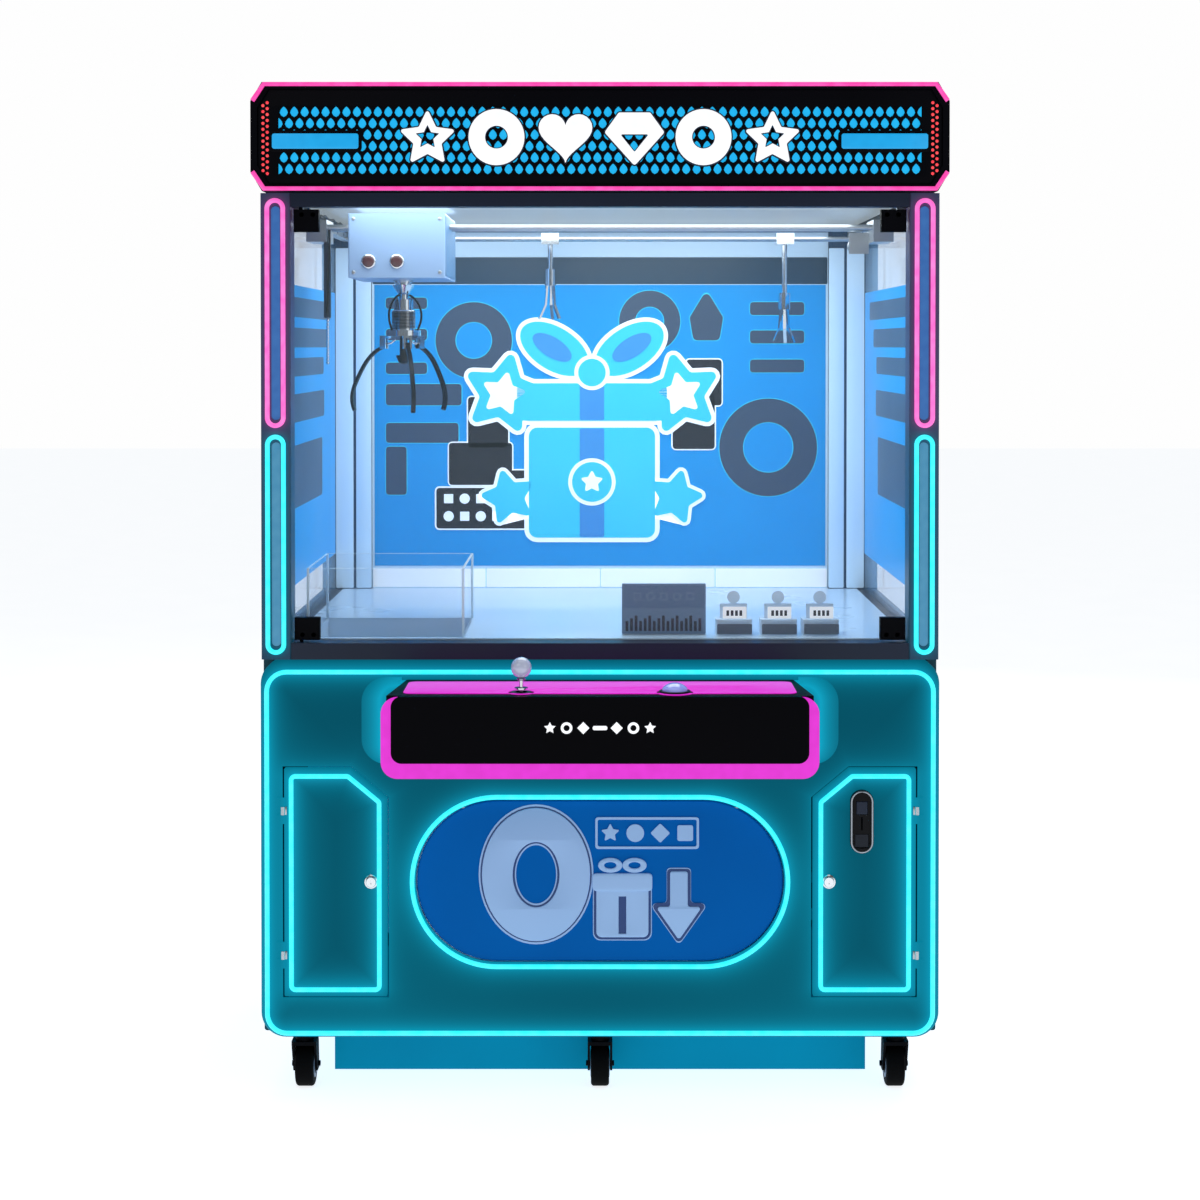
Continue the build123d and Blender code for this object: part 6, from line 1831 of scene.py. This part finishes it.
# ---- gantry and claw ---------------------------------------------
@dataclass
class Gantry:
    """Rails, bridge, trolley, hoist and the three-fingered claw."""

    trees: Trees
    x: float = -0.452
    y: float = -0.060
    finger_azimuths: tuple[float, float, float] = (165.0, 285.0, 45.0)

    def build(self) -> None:
        """Dresses the gantry and adds its cables, lamps and screws."""
        for node in ("gantry_rails", "bridge", "trolley_carriage"):
            dress_node(node, ZINC)
        dress_node("trolley_cover", SKY_POWDER)
        for node in ("hoist_tube_1", "hoist_tube_2", "hoist_tube_3", "claw_head"):
            dress_node(node, CHROME)
        dress_node("claw_plunger", GUN_STEEL)
        for i in (1, 2, 3):
            dress_node(f"claw_finger_{i}", GUN_STEEL)
            self.finger_tip(i)
        for side in ("left", "right"):
            dress_node(f"hanger_{side}", CHROME)
        self.lamps()
        self.rail_bolts()
        self.cover_screws_and_side_shade()
        self.head_detail()
        self.cable_chain()
        self.strap()

    def lamps(self) -> None:
        """Red-brown knobs with chrome rings on the front of the trolley's cover."""
        low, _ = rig.box("trolley_cover")
        turn = Matrix.Rotation(math.radians(90), 4, "X")
        for i, x in enumerate((-0.515, -0.452)):
            place = Matrix.Translation((x, low[1] + 0.0072, 1.813)) @ turn
            profile = [(0.0160, 0.0), (0.0160, 0.0032), (0.0148, 0.0044), (0.0126, 0.0048)]
            turned(f"knob_ring_{i}", profile, place, Body.TROLLEY, CHROME, 32)
            dome = [(0.0130, 0.0010)] + [(0.0130 * math.cos(math.pi * k / 12),
                                          0.0050 + 0.0040 * math.sin(math.pi * k / 12)) for k in range(7)]
            turned(f"knob_{i}", dome, place, Body.TROLLEY, RED_KNOB, 32)

    def cover_screws_and_side_shade(self) -> None:
        """Screws of the trolley's cover, and a darker sheet of painted shade on its side that leaves a pale rim like a
        folded lip.
        """
        low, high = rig.box("trolley_cover")
        front = low[1] + 0.007
        points = [(x, front - 0.0002, z) for x in (low[0] + 0.012, high[0] - 0.012)
                  for z in (low[2] + 0.012, high[2] - 0.012)]
        self.trees.repeat("cover_front_screws", stud(0.0042, 0.0016, (0, -1, 0)), points, Body.TROLLEY, ZINC)
        sides = [(high[0] - 0.0008, y, z) for y in (low[1] + 0.04, (low[1] + high[1]) / 2, high[1] - 0.03)
                 for z in (low[2] + 0.014, high[2] - 0.014)]
        # Painted shade: a darker sheet over the cover's side face, inset 4 mm from its edges.
        side = [(low[1] + 0.011, low[2] + 0.004), (high[1] - 0.004, low[2] + 0.004),
                (high[1] - 0.004, high[2] - 0.004), (low[1] + 0.011, high[2] - 0.004)]
        cut_sheet("cover_side_plate", [rounded_polygon(side, 0.004, 3)], facing_side(high[0]), 0.0008,
                  Body.TROLLEY, COVER_SIDE_SHADE, 0.0003)
        self.trees.repeat("cover_side_screws", stud(0.0042, 0.0008, (1, 0, 0)), sides, Body.TROLLEY, ZINC)

    def rail_bolts(self) -> None:
        """Bolts along both rails."""
        low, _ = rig.box("gantry_rails")
        for sign, side in SIDES:
            points = [(sign * 0.6428, low[1] + 0.06 + 0.14 * i, 1.904) for i in range(6)]
            self.trees.repeat(f"{side}_rail_bolts", stud(0.0046, 0.0022, (-sign, 0, 0), 6, 0.9), points,
                              Body.CABINET, STEEL)

    def head_detail(self) -> None:
        """Coil windings, bolts, hoses and links round the claw's solenoid."""
        centre = (self.x, self.y)
        wire: list[Point3] = []
        for k in range(361):
            turn = 2 * math.pi * k / 30
            wire.append((centre[0] + 0.0262 * math.cos(turn), centre[1] + 0.0262 * math.sin(turn),
                         1.664 + 0.040 * k / 360))
        self.trees.light_tube("claw_coil_windings", wire, Body.CLAW, GUN_STEEL, 0.0013, closed=False)
        points = [(centre[0] + 0.034 * math.cos(math.radians(a)), centre[1] + 0.034 * math.sin(math.radians(a)),
                   1.6598) for a in range(0, 360, 60)]
        self.trees.repeat("claw_collar_bolts", stud(0.0034, 0.0022, (0, 0, 1), 6, 0.9), points, Body.CLAW,
                          STEEL)
        for i, azimuth in enumerate(self.finger_azimuths):
            a = math.radians(azimuth + 60)
            out = Vector((math.cos(a), math.sin(a), 0))
            start = Vector((*centre, 0))
            hose = [start + out * r + Vector((0, 0, z)) for r, z in (
                (0.014, 1.742), (0.024, 1.736), (0.036, 1.722), (0.043, 1.702), (0.042, 1.682),
                (0.037, 1.668), (0.033, 1.656))]
            self.trees.light_tube(f"claw_hose_{i}", smoothed(hose, 4), Body.CLAW, BLACK_MOULDED, 0.0026,
                                  closed=False)
            b = math.radians(azimuth)
            out = Vector((math.cos(b), math.sin(b), 0))
            link = [start + out * r + Vector((0, 0, z)) for r, z in (
                (0.020, 1.640), (0.030, 1.632), (0.040, 1.630))]
            self.trees.light_tube(f"claw_stay_{i}", [tuple(p) for p in link], Body.CLAW, CHROME, 0.0022,
                                  closed=False)

    def strap(self) -> None:
        """Dark cable arm that hangs from the bridge's left end, with a bright drop of chain."""
        beam("bridge_arm", (-0.634, -0.072, 1.690), (-0.6195, -0.050, 1.900), Body.BRIDGE, NAVY_POWDER)
        tip = [(-0.626, -0.062, 1.694 - 0.0075 * i) for i in range(15)]
        self.trees.repeat("bridge_arm_chain", stud(0.0042, 0.0060, (0, 0, -1), 10, 0.4), tip, Body.BRIDGE,
                          CHROME)
        hose = [Vector(p) for p in ((-0.6180, -0.100, 1.890), (-0.6190, -0.092, 1.84), (-0.6220, -0.082, 1.79),
                                    (-0.624, -0.078, 1.74), (-0.627, -0.074, 1.70))]
        self.trees.light_tube("bridge_arm_cable", smoothed(hose, 4), Body.BRIDGE, BLACK_MOULDED, 0.0024,
                              closed=False)

    def finger_tip(self, number: int) -> None:
        """Pivot pin of one finger."""
        a = math.radians(self.finger_azimuths[number - 1])
        out = Vector((math.cos(a), math.sin(a), 0))
        start = Vector((self.x, self.y, 0))
        across = Vector((-math.sin(a), math.cos(a), 0))
        pivot = start + out * 0.048 + Vector((0, 0, 1.626))
        pin = [tuple(pivot - across * 0.0085), tuple(pivot + across * 0.0085)]
        self.trees.light_tube(f"finger_pin_{number}", pin, f"finger_{number}", CHROME, 0.0030, closed=False)

    def cable_chain(self) -> None:
        """Cable that runs along the left rail."""
        x = -0.634
        path = [(x, -0.34 + 0.9 * i / 24, 1.921 + 0.0035 * math.cos(i * math.pi / 2)) for i in range(25)]
        self.trees.light_tube("rail_cable", smoothed([Vector(p) for p in path], 3), Body.CABINET,
                              BLACK_MOULDED, 0.0028, closed=False)


def smoothed(points: Sequence[Vector], steps: int) -> list[Point3]:
    """Passes a Catmull-Rom curve through the points."""
    result: list[Point3] = []
    for i in range(len(points) - 1):
        p0 = points[max(i - 1, 0)]
        p1, p2 = points[i], points[i + 1]
        p3 = points[min(i + 2, len(points) - 1)]
        for k in range(steps):
            t = k / steps
            result.append(tuple(0.5 * ((2 * p1) + (p2 - p0) * t + (2 * p0 - 5 * p1 + 4 * p2 - p3) * t ** 2
                                       + (3 * p1 - p0 - 3 * p2 + p3) * t ** 3)))
    result.append(tuple(points[-1]))
    return result


# ---- things on the deck ------------------------------------------
@dataclass
class DeckItems:
    """Price board and prize stands on the deck."""

    trees: Trees

    def build(self) -> None:
        """Dresses the stands and adds their prints."""
        dress_node("deck_fittings", WHITE_ACRYLIC_MATT)
        self.board()
        self.stands()

    def board(self) -> None:
        """Grey board with abstract marks over a row of dark bars."""
        x, y, z, half_w, height = 0.140, -0.305, 0.992, 0.092, 0.112
        front = y - 0.0032
        face = soft_box(x - half_w, x + half_w, z + 0.002, z + height, 0.003, 3)
        cut_sheet("board_face", [face], facing_front(front), 0.0008, Body.CABINET, BOARD_GREY)
        cut_sheet("board_head", [rectangle(x - half_w + 0.004, x + half_w - 0.004, z + 0.058, z + 0.108)],
                  facing_front(front - 0.0007), 0.0006, Body.CABINET, BOARD_BLUE)
        for i in range(17):
            x0 = x - half_w + 0.008 + i * 0.0100
            top = z + 0.030 + 0.006 * ((i * 7) % 3)
            cut_sheet(f"board_bar_{i}", [rectangle(x0, x0 + 0.0062, z + 0.008, top)],
                      facing_front(front - 0.0007), 0.0006, Body.CABINET, PRINT_BLACK)
        for i in range(5):
            cx = x - 0.058 + i * 0.029
            shape = circle(cx, z + 0.084, 0.0095, 20) if i % 2 else rectangle(
                cx - 0.0085, cx + 0.0085, z + 0.0755, z + 0.0925)
            inner = circle(cx, z + 0.084, 0.006, 20) if i % 2 else rectangle(
                cx - 0.0055, cx + 0.0055, z + 0.0785, z + 0.0895)
            cut_sheet(f"board_mark_{i}", [shape, inner], facing_front(front - 0.0012), 0.0006, Body.CABINET,
                      BOARD_GREY)

    def stands(self) -> None:
        """Small stands, each with a white card, printed bars and a dark foot."""
        front = -0.330
        for i, x in enumerate((0.294, 0.392, 0.484)):
            card = soft_box(x - 0.026, x + 0.026, 1.030, 1.056, 0.002, 3)
            cut_sheet(f"stand_card_{i}", [card], facing_front(front), 0.0008, Body.CABINET, PRINT_WHITE)
            foot = soft_box(x - 0.038, x + 0.038, 0.996, 1.018, 0.002, 3)
            cut_sheet(f"stand_foot_{i}", [foot], facing_front(front), 0.0012, Body.CABINET, BOARD_SLATE)
            for k in range(4):
                x0 = x - 0.018 + k * 0.0095
                cut_sheet(f"stand_print_{i}_{k}", [rectangle(x0, x0 + 0.0060, 1.036, 1.048)],
                          facing_front(front - 0.0007), 0.0004, Body.CABINET, PRINT_BLACK)


BOARD_GREY, BOARD_BLUE, BOARD_SLATE, WHITE_ACRYLIC_MATT = (
    Finish(name, colour, tint, roughness=0.4, grain_mm=2.0, relief_mm=0.02) for name, colour, tint in (
        ("grey printed board", "#5F7A98", "#6B86A4"), ("steel blue printed board", "#4E6B8C", "#5A7798"),
        ("slate printed board", "#4A5668", "#566274"), ("white matt acrylic", "#BED4EA", "#D2E4F4")))


# ---- stage, lights, camera ---------------------------------------
class Light(Enum):
    """Soft studio lights: place, width and height in metres, power in watts and colour."""

    KEY = ((-3.2, -4.4, 4.6), (3.2, 3.2), 36.0, (1.0, 0.99, 0.97))
    FILL = ((3.8, -3.8, 2.8), (3.0, 3.0), 22.0, (0.96, 0.98, 1.0))
    TOP = ((0.0, -0.4, 5.2), (4.0, 4.0), 42.0, (1.0, 1.0, 1.0))
    BACK = ((1.6, 4.6, 3.2), (3.0, 2.4), 60.0, (1.0, 1.0, 1.0))
    CABINET = ((0.0, 0.05, 1.9335), (1.15, 0.85), 12.0, (0.90, 0.98, 1.0))


class Stage:
    """Pale floor, soft lights and the camera in front of the machine."""

    ground = Finish("pale studio floor", "#F2F5F8", "#F6F8FA", roughness=0.6, grain_mm=40.0, relief_mm=0.02,
                    glow=0.90)

    lens_mm: float = 66.47
    sensor_mm: float = 36.0
    rise: float = -0.18
    eye: Point3 = (0.0, -5.160, 1.625)
    tilt_deg: float = 0.98

    def build(self) -> None:
        """Builds the stage."""
        self.floor()
        self.world()
        for light in Light:
            self.light(light)
        self.camera()

    def floor(self) -> None:
        """Lays a wide pale floor."""
        shape = bmesh.new()
        size = 30.0
        corners = [shape.verts.new((x, y, 0.0)) for x, y in rectangle(-size, size, -size, size)]
        shape.faces.new(corners)
        floor = object_from("floor", shape, turn_out=False)
        floor.data.materials.append(self.ground.material())
        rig.stage(floor)

    def world(self) -> None:
        """Even pale surroundings."""
        world = bpy.data.worlds.new("studio")
        world.use_nodes = True
        tree = world.node_tree
        back = tree.nodes["Background"]
        back.inputs["Color"].default_value = linear("#FEFEFE")
        rays = add(tree, "ShaderNodeLightPath")
        seen = add(tree, "ShaderNodeMapRange", {
            "Value": rays.outputs["Is Camera Ray"], "To Min": 0.14, "To Max": 1.0})
        tree.links.new(seen.outputs[0], back.inputs["Strength"])
        bpy.context.scene.world = world
        bpy.context.scene.view_settings.view_transform = "Standard"

    def light(self, light: Light) -> None:
        """Hangs one soft light that faces the machine's middle."""
        place, size, power, colour = light.value
        lamp = bpy.data.lights.new(light.name.lower(), "AREA")
        lamp.shape = "RECTANGLE"
        lamp.size, lamp.size_y = size
        lamp.energy = power
        lamp.color = colour
        item = bpy.data.objects.new(light.name.lower(), lamp)
        item.location = place
        aim = Vector((0, 0.1, 1.0)) - Vector(place)
        if light is Light.CABINET:
            aim = Vector((0, 0, -1))
        item.rotation_euler = aim.to_track_quat("-Z", "Y").to_euler()
        bpy.context.collection.objects.link(item)

    def camera(self) -> None:
        """Stands the camera in front of the machine, at the height of the glass."""
        data = bpy.data.cameras.new("camera")
        data.lens, data.sensor_width, data.shift_y = self.lens_mm, self.sensor_mm, self.rise
        camera = bpy.data.objects.new("camera", data)
        camera.location = self.eye
        camera.rotation_euler = (math.radians(90 - self.tilt_deg), 0, 0)
        bpy.context.collection.objects.link(camera)
        bpy.context.scene.camera = camera


def note_size(stage: str) -> None:
    path = "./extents.json"
    try:
        with open(path, encoding="utf-8") as source:
            sizes = json.load(source)
    except (OSError, ValueError):
        sizes = {}
    sizes[stage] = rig.bounds()
    with open(path, "w", encoding="utf-8") as target:
        json.dump(sizes, target, indent=1, default=list)


FRAME: dict = {}


def main() -> None:
    """Builds the whole scene on the frame."""
    logging.basicConfig(level=logging.WARNING)
    FRAME.update(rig.load())
    note_size("loaded")
    trees = Trees()
    lower = LowerCabinet(trees)
    for part in (lower, ServiceDoors(trees, lower), PrizeFlap(), GlazedCabinet(trees), SignBox(trees),
                 Console(trees), Gantry(trees), DeckItems(trees), Stage()):
        part.build()
    note_size("dressed")


if __name__ == "__main__":
    main()
